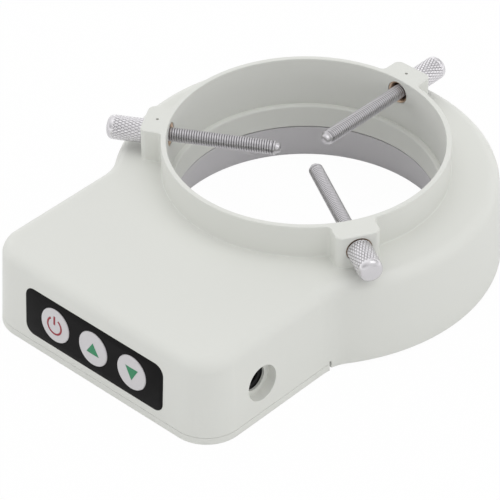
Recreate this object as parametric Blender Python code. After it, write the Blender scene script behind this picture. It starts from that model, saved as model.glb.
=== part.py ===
"""LED ring lamp for a stereo microscope, with a control arm, as separate solid pieces.

The origin lies on the bore's axis, level with the arm cover's underside. The arm points along -Y with its
button panel at the end, the power inlet is on the +X side, and +Z is up. Lengths are in metres.
"""
import math

import bmesh
import bpy
from mathutils import Matrix, Vector

MM = 0.001

# Shared clearances and finenesses
CLEARANCE = 0.3 * MM
OVERRUN = 2.0 * MM
MERGE_DISTANCE = 0.0001 * MM
RING_STEPS = 60
ROUND_STEPS = 20
SMALL_STEPS = 12
CORNER_STEPS = 5
FILLET_STEPS = 4

# Upper housing: the ring, the arm and their common top
BORE_RADIUS = 38.0 * MM
RING_WIDTH = 16.2 * MM
RING_BASE = 0.9 * MM
HOUSING_TOP = 26.0 * MM
ARM_LENGTH = 28.5 * MM
ARM_CORNER = 10.8 * MM
ARM_BLEND = 12.0 * MM
TOP_FILLET = 3.8 * MM
DRAFT_ANGLE = math.radians(3.24)
WALL = 2.2 * MM
INNER_WALL = 1.5 * MM

# Collar and its bosses
COLLAR_HEIGHT = 9.8 * MM
COLLAR_WALL = 1.46 * MM
LEDGE_HEIGHT = 20.6 * MM
LEDGE_WIDTH = 1.56 * MM
SCREW_ANGLES = {"left": math.radians(210), "back": math.radians(90), "front": math.radians(330)}
BOSS_WIDTH = 12.2 * MM
BOSS_DEPTH = 5.8 * MM
BOSS_CORNER = 2.0 * MM
BOSS_BLEND = 1.5 * MM
DIMPLE_RADIUS = 0.45 * MM
DIMPLE_REACH = 3.6 * MM
DIMPLED_BOSSES = ("left", "back")

# Thumbscrews and their inserts
SCREW_RISE = 5.3 * MM
SCREW_RADIUS = 2.0 * MM
SCREW_TIP_REACH = 7.2 * MM
TIP_LENGTH = 1.9 * MM
TIP_SPIGOT_RADIUS = 0.9 * MM
TIP_SPIGOT_LENGTH = 2.5 * MM
HEAD_RADIUS = 3.4 * MM
HEAD_LENGTH = 10.4 * MM
HEAD_CHAMFER = 0.9 * MM
INSERT_RADIUS = 3.3 * MM
INSERT_CHAMFER = 0.55 * MM
INSERT_SINK = 0.3 * MM

# Arm cover and its screws
COVER_THICKNESS = 2.0 * MM
COVER_END_GAP = 1.2 * MM
COVER_BOSS_RADIUS = 4.0 * MM
COVER_BOSS_HEIGHT = 2.0 * MM
COVER_SCREW_RADIUS = 1.2 * MM
COVER_SCREW_LENGTH = 9.0 * MM
COVER_SCREW_HEAD_RADIUS = 2.7 * MM
COVER_SCREW_HEAD = 1.6 * MM
COVER_SCREW_SINK = 0.3 * MM
COVER_SCREW_SIDE = 7.2 * MM
COVER_SCREW_INSET = 8.6 * MM
COVER_BOSS_GAP = 0.4 * MM
POST_RADIUS = 3.0 * MM

# Button panel
PANEL_WIDTH = 50.5 * MM
PANEL_SIDE = 16.3 * MM
PANEL_HEIGHT = 14.9 * MM
PANEL_CORNER = 3.0 * MM
PANEL_CENTRE_X = -0.3 * MM
PANEL_CENTRE_Z = 12.0 * MM
PANEL_THICKNESS = 0.6 * MM
PANEL_PROUD = 0.1 * MM
BUTTON_RADIUS = 5.15 * MM
BUTTON_PITCH = 14.1 * MM
BUTTON_PROUD = 0.45 * MM
BUTTON_EDGE = 0.35 * MM
BUTTON_FLANGE = 1.1 * MM
BUTTON_FLANGE_THICKNESS = 1.0 * MM
BUTTON_STEM_RADIUS = 2.0 * MM
BUTTON_STEM_LENGTH = 1.3 * MM
BUTTON_TRAVEL = 0.45 * MM
BUTTON_NAMES = ("power", "brighter", "dimmer")

# Button board and its switches
PLUNGER_RADIUS = 1.6 * MM
PLUNGER_LENGTH = 3.0 * MM
SWITCH_WIDTH = 6.0 * MM
SWITCH_HEIGHT = 3.0 * MM
SWITCH_LIFT = 0.8 * MM
BOARD_THICKNESS = 1.6 * MM
BUTTON_BOARD_MARGIN = 2.6 * MM
BUTTON_BOARD_DROP = 4.0 * MM
BUTTON_BOARD_RISE = 7.0 * MM
PANEL_POST_RADIUS = 2.4 * MM
PANEL_POST_MARGIN = 0.7 * MM
HEADER_WIDTH = 10.0 * MM
HEADER_HEIGHT = 3.0 * MM
HEADER_DEPTH = 2.5 * MM
HEADER_RISE = 4.2 * MM
RIBBON_WIDTH = 8.0 * MM
RIBBON_THICKNESS = 0.5 * MM
RIBBON_BEND = 2.0 * MM
RIBBON_RUN = 0.6 * MM

# Driver board and what stands on it
DRIVER_LIFT = 4.0 * MM
DRIVER_FRONT_GAP = 4.7 * MM
DRIVER_MARGIN = 2.5 * MM
DRIVER_RING_GAP = 1.6 * MM
DRIVER_SCREW_EDGE = 6.05 * MM
DRIVER_SCREW_INSET = 7.2 * MM
STANDOFF_RADIUS = 2.6 * MM
SMALL_SCREW_RADIUS = 1.0 * MM
SMALL_SCREW_HEAD_RADIUS = 2.1 * MM
SMALL_SCREW_HEAD = 1.4 * MM
SMALL_SCREW_LENGTH = 4.2 * MM
SOCKET_DEPTH = 3.0 * MM
SOCKET_HEIGHT = 3.5 * MM
COIL_RADIUS = 5.0 * MM
COIL_HEIGHT = 6.0 * MM
COIL_WAIST = 1.2 * MM
COIL_FLANGE = 1.0 * MM
LARGE_CAPACITOR_RADIUS = 4.0 * MM
LARGE_CAPACITOR_HEIGHT = 11.0 * MM
SMALL_CAPACITOR_RADIUS = 3.15 * MM
SMALL_CAPACITOR_HEIGHT = 8.0 * MM
CAPACITOR_GROOVE = 0.4 * MM
CAPACITOR_GROOVE_SHARES = (0.12, 0.17, 0.25)
CHIP_WIDTH = 5.0 * MM
CHIP_DEPTH = 3.6 * MM
CHIP_HEIGHT = 1.3 * MM
CHIP_FORWARD = 5.6 * MM
PLUG_WIDTH = 8.0 * MM
PLUG_DEPTH = 5.0 * MM
PLUG_HEIGHT = 6.0 * MM

# Power inlet
INLET_SHIFT = 1.3 * MM
INLET_Z = 11.25 * MM
RECESS_RADIUS = 5.15 * MM
RECESS_DEPTH = 2.8 * MM
INLET_RADIUS = 3.7 * MM
LEDGE_THICKNESS = 0.75 * MM
CUP_WALL = 2.0 * MM
JACK_LENGTH = 14.0 * MM
JACK_WIDTH = 9.0 * MM
JACK_RISE = 5.0 * MM
JACK_BORE_RADIUS = 2.85 * MM
JACK_BORE_DEPTH = 10.0 * MM
JACK_PIN_RADIUS = 1.0 * MM
JACK_PIN_SINK = 1.2 * MM

# LED carrier, board, rows and diffuser
CARRIER_TOP = 13.45 * MM
CARRIER_FLARE = 3.9 * MM
CARRIER_WALL = 1.6 * MM
CARRIER_FLANGE = 1.5 * MM
CARRIER_GAP = 0.6 * MM
CARRIER_SCREW_ANGLES = [math.radians(angle) for angle in (45, 165, 285)]
CARRIER_SCREW_LENGTH = 9.0 * MM
PARTITION_TOP = 15.0 * MM
LED_COUNT = 36
LED_HEIGHT = 1.1 * MM
LED_BASE = 0.4 * MM
LED_ROW_MARGIN = 0.35 * MM
DIFFUSER_THICKNESS = 1.8 * MM

# Leads from the driver board to the LED board
LEAD_RADIUS = 0.6 * MM
LEAD_SPACING = 2.3 * MM
LEAD_HOLE_ANGLE = math.radians(261)
LEAD_HOLE_RADIUS = 2.4 * MM
LEAD_SAMPLES = 4
LEAD_RISE_SHARE = 0.55
LEAD_TURN_SHARE = 0.12


# Derived levels and radii

def draft_inset(height):
    """How far the drafted outer wall has moved inward at a height."""
    return math.tan(DRAFT_ANGLE) * height


RING_RADIUS = BORE_RADIUS + RING_WIDTH
ARM_REACH = RING_RADIUS + ARM_LENGTH
ARM_WIDTH = PANEL_WIDTH + 2 * PANEL_SIDE
COVER_END = math.sqrt(RING_RADIUS ** 2 - (ARM_WIDTH / 2) ** 2) + COVER_END_GAP
COLLAR_TOP = HOUSING_TOP + COLLAR_HEIGHT
COLLAR_RADIUS = BORE_RADIUS + COLLAR_WALL
THROAT_RADIUS = BORE_RADIUS - LEDGE_WIDTH
CORE_RADIUS = BORE_RADIUS + INNER_WALL
RING_INNER_RADIUS = RING_RADIUS - draft_inset(RING_BASE) - WALL
PLATE_UNDERSIDE = HOUSING_TOP - WALL
BOSS_FACE = COLLAR_RADIUS + BOSS_DEPTH
SCREW_HEIGHT = HOUSING_TOP + SCREW_RISE
SCREW_HOLE_RADIUS = INSERT_RADIUS + CLEARANCE
SEAM_HEIGHT = COVER_THICKNESS + CLEARANCE
DRIVER_TOP = DRIVER_LIFT + BOARD_THICKNESS
PART_SEAT = DRIVER_TOP + CLEARANCE
FRONT_AT = Vector((PANEL_CENTRE_X, draft_inset(PANEL_CENTRE_Z) - ARM_REACH, PANEL_CENTRE_Z))
PANEL_RECESS = PANEL_THICKNESS + CLEARANCE - PANEL_PROUD
RECESS_BOTTOM = ARM_WIDTH / 2 - draft_inset(INLET_Z) - RECESS_DEPTH
CUP_BACK = RECESS_BOTTOM - LEDGE_THICKNESS
JACK_FACE = CUP_BACK - CLEARANCE
DRIVER_HALF_WIDTH = JACK_FACE - CLEARANCE
COVER_SCREW_ACROSS = ARM_WIDTH / 2 - COVER_SCREW_SIDE
COVER_SCREW_FRONT = COVER_SCREW_INSET - ARM_REACH
COVER_SCREW_REAR = -math.sqrt((RING_RADIUS + 2 * CLEARANCE + COVER_BOSS_RADIUS + COVER_BOSS_GAP) ** 2
                              - COVER_SCREW_ACROSS ** 2)
COVER_SCREW_PLACES = [(side * COVER_SCREW_ACROSS, row)
                      for side in (-1, 1) for row in (COVER_SCREW_FRONT, COVER_SCREW_REAR)]
DRIVER_FRONT = DRIVER_FRONT_GAP - ARM_REACH
DRIVER_REAR = -RING_RADIUS - DRIVER_RING_GAP
DRIVER_SCREW_ACROSS = COVER_SCREW_ACROSS - COVER_BOSS_RADIUS - CLEARANCE - DRIVER_SCREW_EDGE
DRIVER_SCREW_PLACES = [(side * DRIVER_SCREW_ACROSS, DRIVER_SCREW_INSET - ARM_REACH) for side in (-1, 1)]


# Depths behind the button panel's wall, which lies at zero

FLANGE_TOP = -WALL - CLEARANCE
FLANGE_BACK = FLANGE_TOP - BUTTON_FLANGE_THICKNESS
STEM_END = FLANGE_BACK - BUTTON_STEM_LENGTH
PLUNGER_TOP = STEM_END - CLEARANCE
PLUNGER_END = PLUNGER_TOP - PLUNGER_LENGTH
SWITCH_TOP = PLUNGER_TOP - SWITCH_LIFT
SWITCH_BASE = SWITCH_TOP - SWITCH_HEIGHT
BUTTON_BOARD_FRONT = SWITCH_BASE - CLEARANCE
BUTTON_BOARD_BACK = BUTTON_BOARD_FRONT - BOARD_THICKNESS
PANEL_SCREW_END = FLANGE_BACK
PANEL_SCREW_ACROSS = BUTTON_PITCH + BUTTON_RADIUS + BUTTON_FLANGE + PANEL_POST_MARGIN + PANEL_POST_RADIUS
PANEL_SCREW_PLACES = [(side * PANEL_SCREW_ACROSS, 0) for side in (-1, 1)]
BUTTON_PLACES = [((number - 1) * BUTTON_PITCH, 0) for number in range(len(BUTTON_NAMES))]
INLET_Y = (BUTTON_BOARD_BACK + ARM_REACH + RING_RADIUS) / -2 + INLET_SHIFT


# Levels and radii of the LED group, from its carrier down

SMALL_HOLE_RADIUS = SMALL_SCREW_RADIUS + CLEARANCE
BOARD_TOP = CARRIER_TOP - CARRIER_FLANGE - CLEARANCE
BOARD_UNDERSIDE = BOARD_TOP - BOARD_THICKNESS
CARRIER_SCREW_SEAT = BOARD_UNDERSIDE - CLEARANCE
LED_FLOOR = CARRIER_SCREW_SEAT - LED_BASE - LED_HEIGHT


def carrier_inner_radius(height):
    """The grey ring flares outward towards its foot."""
    share = (CARRIER_TOP - height) / (CARRIER_TOP - RING_BASE)
    return THROAT_RADIUS + CARRIER_FLARE * share


CARRIER_REACH = RING_RADIUS - draft_inset(CARRIER_TOP) - WALL - CARRIER_GAP
LED_ROW_START = carrier_inner_radius(LED_FLOOR) + CARRIER_WALL + CLEARANCE
LED_ROW_WIDTH = (CARRIER_REACH - LED_ROW_START) / 2 - SMALL_SCREW_HEAD_RADIUS - CLEARANCE
CARRIER_SCREW_CIRCLE = (CARRIER_REACH + LED_ROW_START) / 2
CARRIER_SCREW_PLACES = [(CARRIER_SCREW_CIRCLE * math.cos(angle), CARRIER_SCREW_CIRCLE * math.sin(angle))
                        for angle in CARRIER_SCREW_ANGLES]


# Materials

def linear(value):
    """One colour channel from 0-255 display values to linear light."""
    share = value / 255
    return share / 12.92 if share <= 0.04045 else ((share + 0.055) / 1.055) ** 2.4


def make_material(name, colour, roughness, metallic=0.0):
    material = bpy.data.materials.new(name)
    material.use_nodes = True
    shader = material.node_tree.nodes["Principled BSDF"]
    shader.inputs["Base Color"].default_value = [linear(value) for value in colour] + [1.0]
    shader.inputs["Roughness"].default_value = roughness
    shader.inputs["Metallic"].default_value = metallic
    material.diffuse_color = [linear(value) for value in colour] + [1.0]
    return material


# Mesh helpers

def finish_mesh(name, mesh_builder):
    """Close a bmesh into a mesh, with its faces pointing out."""
    bmesh.ops.recalc_face_normals(mesh_builder, faces=mesh_builder.faces)
    mesh = bpy.data.meshes.new(name)
    mesh_builder.to_mesh(mesh)
    mesh_builder.free()
    mesh.shade_smooth()
    mesh.set_sharp_from_angle(angle=math.radians(30))
    return mesh


def place(name, mesh, material, parent=None):
    """Add a mesh to the scene as an object, under a parent's frame if it has one."""
    mesh.materials.append(material)
    shape = bpy.data.objects.new(name, mesh)
    bpy.context.scene.collection.objects.link(shape)
    shape.parent = parent
    return shape


def place_guide(name, mesh, parent=None):
    """Add a mesh that only cuts or joins another shape."""
    guide = bpy.data.objects.new(name, mesh)
    bpy.context.scene.collection.objects.link(guide)
    guide.parent = parent
    guide.hide_render = True
    guide.display_type = "WIRE"
    return guide


def combine(shape, guide, operation):
    modifier = shape.modifiers.new(guide.name, "BOOLEAN")
    modifier.operation = operation
    modifier.solver = "EXACT"
    modifier.object = guide


def cut(shape, guide):
    combine(shape, guide, "DIFFERENCE")


def join(shape, guide):
    combine(shape, guide, "UNION")


def make_frame(name, location, rotation):
    """An empty that carries the pieces modelled in its own axes."""
    frame = bpy.data.objects.new(name, None)
    frame.location = location
    frame.rotation_euler = rotation
    bpy.context.scene.collection.objects.link(frame)
    return frame


def add_turned(builder, profile, steps, centre=(0, 0)):
    """Turn a closed profile of (radius, height) points round a vertical axis through the centre."""
    before = set(builder.verts)
    verts = [builder.verts.new((radius, 0, height)) for radius, height in profile]
    edges = [builder.edges.new(pair) for pair in zip(verts, verts[1:] + verts[:1])]
    on_axis = [edge for edge in edges if all(vert.co.x == 0 for vert in edge.verts)]
    for edge in on_axis:
        builder.edges.remove(edge)
        edges.remove(edge)
    bmesh.ops.spin(builder, geom=verts + edges, cent=(0, 0, 0), axis=(0, 0, 1),
                   angle=2 * math.pi, steps=steps, use_merge=True)
    new = [vert for vert in builder.verts if vert not in before]
    bmesh.ops.remove_doubles(builder, verts=new, dist=MERGE_DISTANCE)
    new = [vert for vert in builder.verts if vert not in before]
    bmesh.ops.translate(builder, verts=new, vec=(centre[0], centre[1], 0))


def add_cylinder(builder, centre, radius, low, high, steps):
    """A plain upright cylinder between two heights."""
    add_prism(builder, arc(centre, radius, 0, 2 * math.pi, steps)[:-1], low, high)


def add_prism(builder, outline, low, high):
    """Raise a closed outline of (x, y) points from one height to another."""
    add_loft(builder, [[(x, y, low) for x, y in outline], [(x, y, high) for x, y in outline]])


def add_loft(builder, loops):
    """Join closed loops of equally many points, and close both ends."""
    rings = [[builder.verts.new(point) for point in loop] for loop in loops]
    for lower, upper in zip(rings, rings[1:]):
        for i in range(len(lower)):
            j = (i + 1) % len(lower)
            builder.faces.new((lower[i], lower[j], upper[j], upper[i]))
    builder.faces.new(rings[0][::-1])
    builder.faces.new(rings[-1])


def box_outline(centre, width, depth):
    """The four corners of a rectangle."""
    return [(centre[0] + side * width / 2, centre[1] + end * depth / 2)
            for side, end in ((-1, -1), (1, -1), (1, 1), (-1, 1))]


def arc(centre, radius, start, end, steps):
    """Points along an arc, both ends included."""
    return [(centre[0] + radius * math.cos(start + (end - start) * i / steps),
             centre[1] + radius * math.sin(start + (end - start) * i / steps)) for i in range(steps + 1)]


def rounded_outline(width, height, corner, steps):
    """A rectangle with round corners, centred on the origin."""
    points = []
    for quarter, (side, end) in enumerate(((1, 1), (-1, 1), (-1, -1), (1, -1))):
        centre = (side * (width / 2 - corner), end * (height / 2 - corner))
        start = quarter * math.pi / 2
        points += arc(centre, corner, start, start + math.pi / 2, steps)
    return points


def turned_mesh(name, profile, steps):
    builder = bmesh.new()
    add_turned(builder, profile, steps)
    return finish_mesh(name, builder)


def prism_mesh(name, outline, low, high):
    builder = bmesh.new()
    add_prism(builder, outline, low, high)
    return finish_mesh(name, builder)


def cylinders_mesh(name, places, radius, low, high, steps=SMALL_STEPS):
    builder = bmesh.new()
    for centre in places:
        add_cylinder(builder, centre, radius, low, high, steps)
    return finish_mesh(name, builder)


def polar(radius, angle):
    return (radius * math.cos(angle), radius * math.sin(angle))


# Housing outlines

def blend_centre():
    """The centre of the concave arc between the arm's right side and the ring."""
    across = ARM_WIDTH / 2 + ARM_BLEND
    return across, -math.sqrt((RING_RADIUS + ARM_BLEND) ** 2 - across ** 2)


def blend_meeting():
    """The direction from the bore's axis in which that arc meets the ring."""
    across, along = blend_centre()
    return math.atan2(along, across)


def plan_outline(inset):
    """The lamp's outline from above, moved inward: arm end, corners, sides, blends and ring."""
    half = ARM_WIDTH / 2 - inset
    corner_at = (ARM_WIDTH / 2 - ARM_CORNER, ARM_CORNER - ARM_REACH)
    blend_x, blend_y = blend_centre()
    meeting = blend_meeting()
    right = arc(corner_at, ARM_CORNER - inset, -math.pi / 2, 0, CORNER_STEPS)
    right.append((half, (corner_at[1] + blend_y) / 2))
    right += arc((blend_x, blend_y), ARM_BLEND + inset, math.pi, meeting + math.pi, CORNER_STEPS)
    ring_steps = round(RING_STEPS * (math.pi / 2 - meeting) / (2 * math.pi))
    right += arc((0, 0), RING_RADIUS - inset, meeting, math.pi / 2, ring_steps)[1:]
    left = [(-x, y) for x, y in reversed(right[:-1])]
    return right + left


def outline_at(height, extra=0.0):
    """The drafted outline at a height, as a loop of points in space."""
    return [(x, y, height) for x, y in plan_outline(draft_inset(height) + extra)]


def collar_outline():
    """The collar's outer circle with its three bosses, blended in and rounded at their corners."""
    half = BOSS_WIDTH / 2
    blend_across = half + BOSS_BLEND
    blend_out = math.sqrt((COLLAR_RADIUS + BOSS_BLEND) ** 2 - blend_across ** 2)
    root = math.atan2(blend_across, blend_out)
    right = arc((blend_out, -blend_across), BOSS_BLEND, math.pi - root, math.pi / 2, 2)
    right += arc((BOSS_FACE - BOSS_CORNER, -half + BOSS_CORNER), BOSS_CORNER, -math.pi / 2, 0, 3)
    boss = right + [(out, -across) for out, across in reversed(right)]
    gap = 2 * math.pi / len(SCREW_ANGLES) - 2 * root
    steps = round(RING_STEPS * gap / (2 * math.pi))
    points = []
    for angle in sorted(SCREW_ANGLES.values()):
        turn = Matrix.Rotation(angle, 2)
        points += [tuple(turn @ Vector(point)) for point in boss]
        points += arc((0, 0), COLLAR_RADIUS, angle + root, angle + root + gap, steps)[1:-1]
    return points


# Housing

def outer_levels():
    """Loops up the drafted wall and over the top fillet."""
    shoulder = HOUSING_TOP - TOP_FILLET
    loops = [outline_at(RING_BASE), outline_at(shoulder)]
    for step in range(1, FILLET_STEPS + 1):
        turn = step / FILLET_STEPS * math.pi / 2
        inset = draft_inset(shoulder) + TOP_FILLET * (1 - math.cos(turn))
        height = shoulder + TOP_FILLET * math.sin(turn)
        loops.append([(x, y, height) for x, y in plan_outline(inset)])
    return loops


def cavity_guide():
    """The hollow inside the arm and the ring, round the bore's wall and the arm's partition."""
    builder = bmesh.new()
    bevel = TOP_FILLET / 2
    add_loft(builder, [outline_at(-OVERRUN, WALL), outline_at(PLATE_UNDERSIDE - bevel, WALL),
                       outline_at(PLATE_UNDERSIDE, WALL + bevel)])
    cavity = place_guide("cavity_guide", finish_mesh("cavity_guide", builder))
    low, high = -2 * OVERRUN, PLATE_UNDERSIDE + OVERRUN
    core = cylinders_mesh("core_guide", [(0, 0)], CORE_RADIUS, low, high, RING_STEPS)
    cut(cavity, place_guide("core_guide", core))
    start, end = math.pi - blend_meeting(), blend_meeting() + 2 * math.pi
    steps = round(RING_STEPS * (end - start) / (2 * math.pi))
    wall = arc((0, 0), RING_RADIUS, start, end, steps) + arc((0, 0), RING_INNER_RADIUS, end, start, steps)
    cut(cavity, place_guide("partition_guide", prism_mesh("partition_guide", wall, low, PARTITION_TOP)))
    return cavity


def bore_guide():
    """The bore with its ledge, and the room for the LED carrier below it."""
    low, high = -OVERRUN, COLLAR_TOP + OVERRUN
    seat = CARRIER_TOP + CLEARANCE
    profile = [(0, low), (CORE_RADIUS + CLEARANCE, low), (CORE_RADIUS + CLEARANCE, seat),
               (THROAT_RADIUS, seat), (THROAT_RADIUS, LEDGE_HEIGHT), (BORE_RADIUS, LEDGE_HEIGHT),
               (BORE_RADIUS, high), (0, high)]
    return place_guide("bore_guide", turned_mesh("bore_guide", profile, RING_STEPS))


def seam_guide():
    """What the arm cover takes from the housing's lower edge."""
    builder = bmesh.new()
    depth = ARM_REACH + OVERRUN - COVER_END
    centre = (0, -COVER_END - depth / 2)
    add_prism(builder, box_outline(centre, ARM_WIDTH + 2 * OVERRUN, depth), -OVERRUN, SEAM_HEIGHT)
    guide = place_guide("seam_guide", finish_mesh("seam_guide", builder))
    ring = cylinders_mesh("seam_ring_guide", [(0, 0)], RING_RADIUS + CLEARANCE, -2 * OVERRUN,
                          SEAM_HEIGHT + OVERRUN, RING_STEPS)
    cut(guide, place_guide("seam_ring_guide", ring))
    return guide


def posts_guide():
    """Posts for the screws that reach up into the housing."""
    builder = bmesh.new()
    top = PLATE_UNDERSIDE + WALL / 2
    foot = COVER_THICKNESS + COVER_BOSS_HEIGHT + CLEARANCE
    for centre in COVER_SCREW_PLACES:
        add_cylinder(builder, centre, POST_RADIUS, foot, top, SMALL_STEPS)
    for centre in CARRIER_SCREW_PLACES:
        add_cylinder(builder, centre, POST_RADIUS, CARRIER_TOP + CLEARANCE, top, SMALL_STEPS)
    return place_guide("posts_guide", finish_mesh("posts_guide", builder))


def make_housing(material, front_frame, inlet_frame, screw_frames):
    builder = bmesh.new()
    add_loft(builder, outer_levels())
    housing = place("upper_housing", finish_mesh("upper_housing", builder), material)
    cut(housing, cavity_guide())
    collar = prism_mesh("collar_guide", collar_outline(), PLATE_UNDERSIDE + WALL / 2, COLLAR_TOP)
    join(housing, place_guide("collar_guide", collar))
    join(housing, posts_guide())
    wall_middle = RECESS_BOTTOM + RECESS_DEPTH - WALL / 2
    cup = cylinders_mesh("cup_guide", [(0, 0)], RECESS_RADIUS + CUP_WALL, CUP_BACK, wall_middle, ROUND_STEPS)
    join(housing, place_guide("cup_guide", cup, inlet_frame))
    panel_posts = cylinders_mesh("panel_posts_guide", PANEL_SCREW_PLACES, PANEL_POST_RADIUS,
                                 BUTTON_BOARD_FRONT + CLEARANCE, -WALL / 2)
    join(housing, place_guide("panel_posts_guide", panel_posts, front_frame))
    cut(housing, bore_guide())
    cut(housing, seam_guide())
    cut_housing_holes(housing, front_frame, inlet_frame, screw_frames)
    return housing


def cut_housing_holes(housing, front_frame, inlet_frame, screw_frames):
    """Screw holes, the panel's recess, the buttons' holes, the inlet and the bosses' holes."""
    foot = COVER_THICKNESS + COVER_BOSS_HEIGHT
    pilot = COVER_SCREW_RADIUS + CLEARANCE
    screw_top = COVER_SCREW_SINK + COVER_SCREW_HEAD + COVER_SCREW_LENGTH
    holes = cylinders_mesh("cover_pilot_guide", COVER_SCREW_PLACES, pilot, foot, screw_top + CLEARANCE)
    cut(housing, place_guide("cover_pilot_guide", holes))
    carrier_top = CARRIER_SCREW_SEAT + CARRIER_SCREW_LENGTH + CLEARANCE
    holes = cylinders_mesh("carrier_pilot_guide", CARRIER_SCREW_PLACES, SMALL_HOLE_RADIUS, CARRIER_TOP,
                           carrier_top)
    cut(housing, place_guide("carrier_pilot_guide", holes))
    recess = rounded_outline(PANEL_WIDTH + 2 * CLEARANCE, PANEL_HEIGHT + 2 * CLEARANCE,
                             PANEL_CORNER + CLEARANCE, CORNER_STEPS)
    recess = prism_mesh("panel_recess_guide", recess, -PANEL_RECESS, OVERRUN)
    cut(housing, place_guide("panel_recess_guide", recess, front_frame))
    holes = cylinders_mesh("button_hole_guide", BUTTON_PLACES, BUTTON_RADIUS + CLEARANCE,
                           -WALL - OVERRUN, OVERRUN, ROUND_STEPS)
    cut(housing, place_guide("button_hole_guide", holes, front_frame))
    pilots = cylinders_mesh("panel_pilot_guide", PANEL_SCREW_PLACES, SMALL_HOLE_RADIUS,
                            BUTTON_BOARD_FRONT, PANEL_SCREW_END + CLEARANCE)
    cut(housing, place_guide("panel_pilot_guide", pilots, front_frame))
    outside = ARM_WIDTH / 2 + OVERRUN
    profile = [(0, CUP_BACK - OVERRUN), (INLET_RADIUS, CUP_BACK - OVERRUN), (INLET_RADIUS, RECESS_BOTTOM),
               (RECESS_RADIUS, RECESS_BOTTOM), (RECESS_RADIUS, outside), (0, outside)]
    cut(housing, place_guide("inlet_guide", turned_mesh("inlet_guide", profile, ROUND_STEPS), inlet_frame))
    for name, frame in screw_frames.items():
        hole = cylinders_mesh("boss_hole_guide", [(0, 0)], SCREW_HOLE_RADIUS, THROAT_RADIUS - OVERRUN,
                              BOSS_FACE + OVERRUN, ROUND_STEPS)
        cut(housing, place_guide("boss_hole_guide_" + name, hole, frame))
    dimples = [polar(BORE_RADIUS + DIMPLE_REACH, SCREW_ANGLES[name]) for name in DIMPLED_BOSSES]
    dimples = cylinders_mesh("dimple_guide", dimples, DIMPLE_RADIUS, SCREW_HEIGHT,
                             COLLAR_TOP + OVERRUN)
    cut(housing, place_guide("dimple_guide", dimples))


# Arm cover

def make_cover(material):
    builder = bmesh.new()
    add_loft(builder, [outline_at(0), outline_at(COVER_THICKNESS)])
    cover = place("arm_cover", finish_mesh("arm_cover", builder), material)
    ring = cylinders_mesh("cover_ring_guide", [(0, 0)], RING_RADIUS + 2 * CLEARANCE, -OVERRUN,
                          COVER_THICKNESS + OVERRUN, RING_STEPS)
    cut(cover, place_guide("cover_ring_guide", ring))
    depth = COVER_END + CLEARANCE + RING_RADIUS + OVERRUN
    centre = (0, depth / 2 - COVER_END - CLEARANCE)
    rest = prism_mesh("cover_end_guide", box_outline(centre, 2 * (RING_RADIUS + OVERRUN), depth),
                      -OVERRUN, COVER_THICKNESS + OVERRUN)
    cut(cover, place_guide("cover_end_guide", rest))
    builder = bmesh.new()
    for centre in COVER_SCREW_PLACES:
        add_cylinder(builder, centre, COVER_BOSS_RADIUS, COVER_THICKNESS / 2,
                     COVER_THICKNESS + COVER_BOSS_HEIGHT, SMALL_STEPS)
    for centre in DRIVER_SCREW_PLACES + driver_pad_places():
        add_cylinder(builder, centre, STANDOFF_RADIUS, COVER_THICKNESS / 2,
                     DRIVER_LIFT - CLEARANCE, SMALL_STEPS)
    join(cover, place_guide("cover_boss_guide", finish_mesh("cover_boss_guide", builder)))
    sink = COVER_SCREW_SINK + COVER_SCREW_HEAD + CLEARANCE
    head = COVER_SCREW_HEAD_RADIUS + CLEARANCE
    shank = COVER_SCREW_RADIUS + CLEARANCE
    above = COVER_THICKNESS + COVER_BOSS_HEIGHT + OVERRUN
    builder = bmesh.new()
    for centre in COVER_SCREW_PLACES:
        profile = [(0, -OVERRUN), (head, -OVERRUN), (head, sink), (shank, sink), (shank, above), (0, above)]
        add_turned(builder, profile, SMALL_STEPS, centre)
    for centre in DRIVER_SCREW_PLACES:
        add_cylinder(builder, centre, SMALL_HOLE_RADIUS, PART_SEAT - SMALL_SCREW_LENGTH - CLEARANCE,
                     DRIVER_LIFT + OVERRUN, SMALL_STEPS)
    cut(cover, place_guide("cover_hole_guide", finish_mesh("cover_hole_guide", builder)))
    return cover


def driver_pad_places():
    """Plain pads under the driver board's rear corners."""
    return [(side * DRIVER_SCREW_ACROSS, DRIVER_REAR - STANDOFF_RADIUS) for side in (-1, 1)]


def place_screw(name, head_radius, head_height, shank_radius, length, location, material, parent=None):
    """A screw with its head below and its shank pointing up, seated at its own origin."""
    point = shank_radius / 2
    edge = head_height / 4
    profile = [(0, -head_height), (head_radius - edge, -head_height), (head_radius, edge - head_height),
               (head_radius, 0), (shank_radius, 0), (shank_radius, length - point),
               (shank_radius - point, length), (0, length)]
    screw = place(name, turned_mesh(name, profile, SMALL_STEPS), material, parent)
    screw.location = location
    return screw


def place_small_screw(name, length, location, material, parent=None):
    return place_screw(name, SMALL_SCREW_HEAD_RADIUS, SMALL_SCREW_HEAD, SMALL_SCREW_RADIUS, length,
                       location, material, parent)


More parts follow.
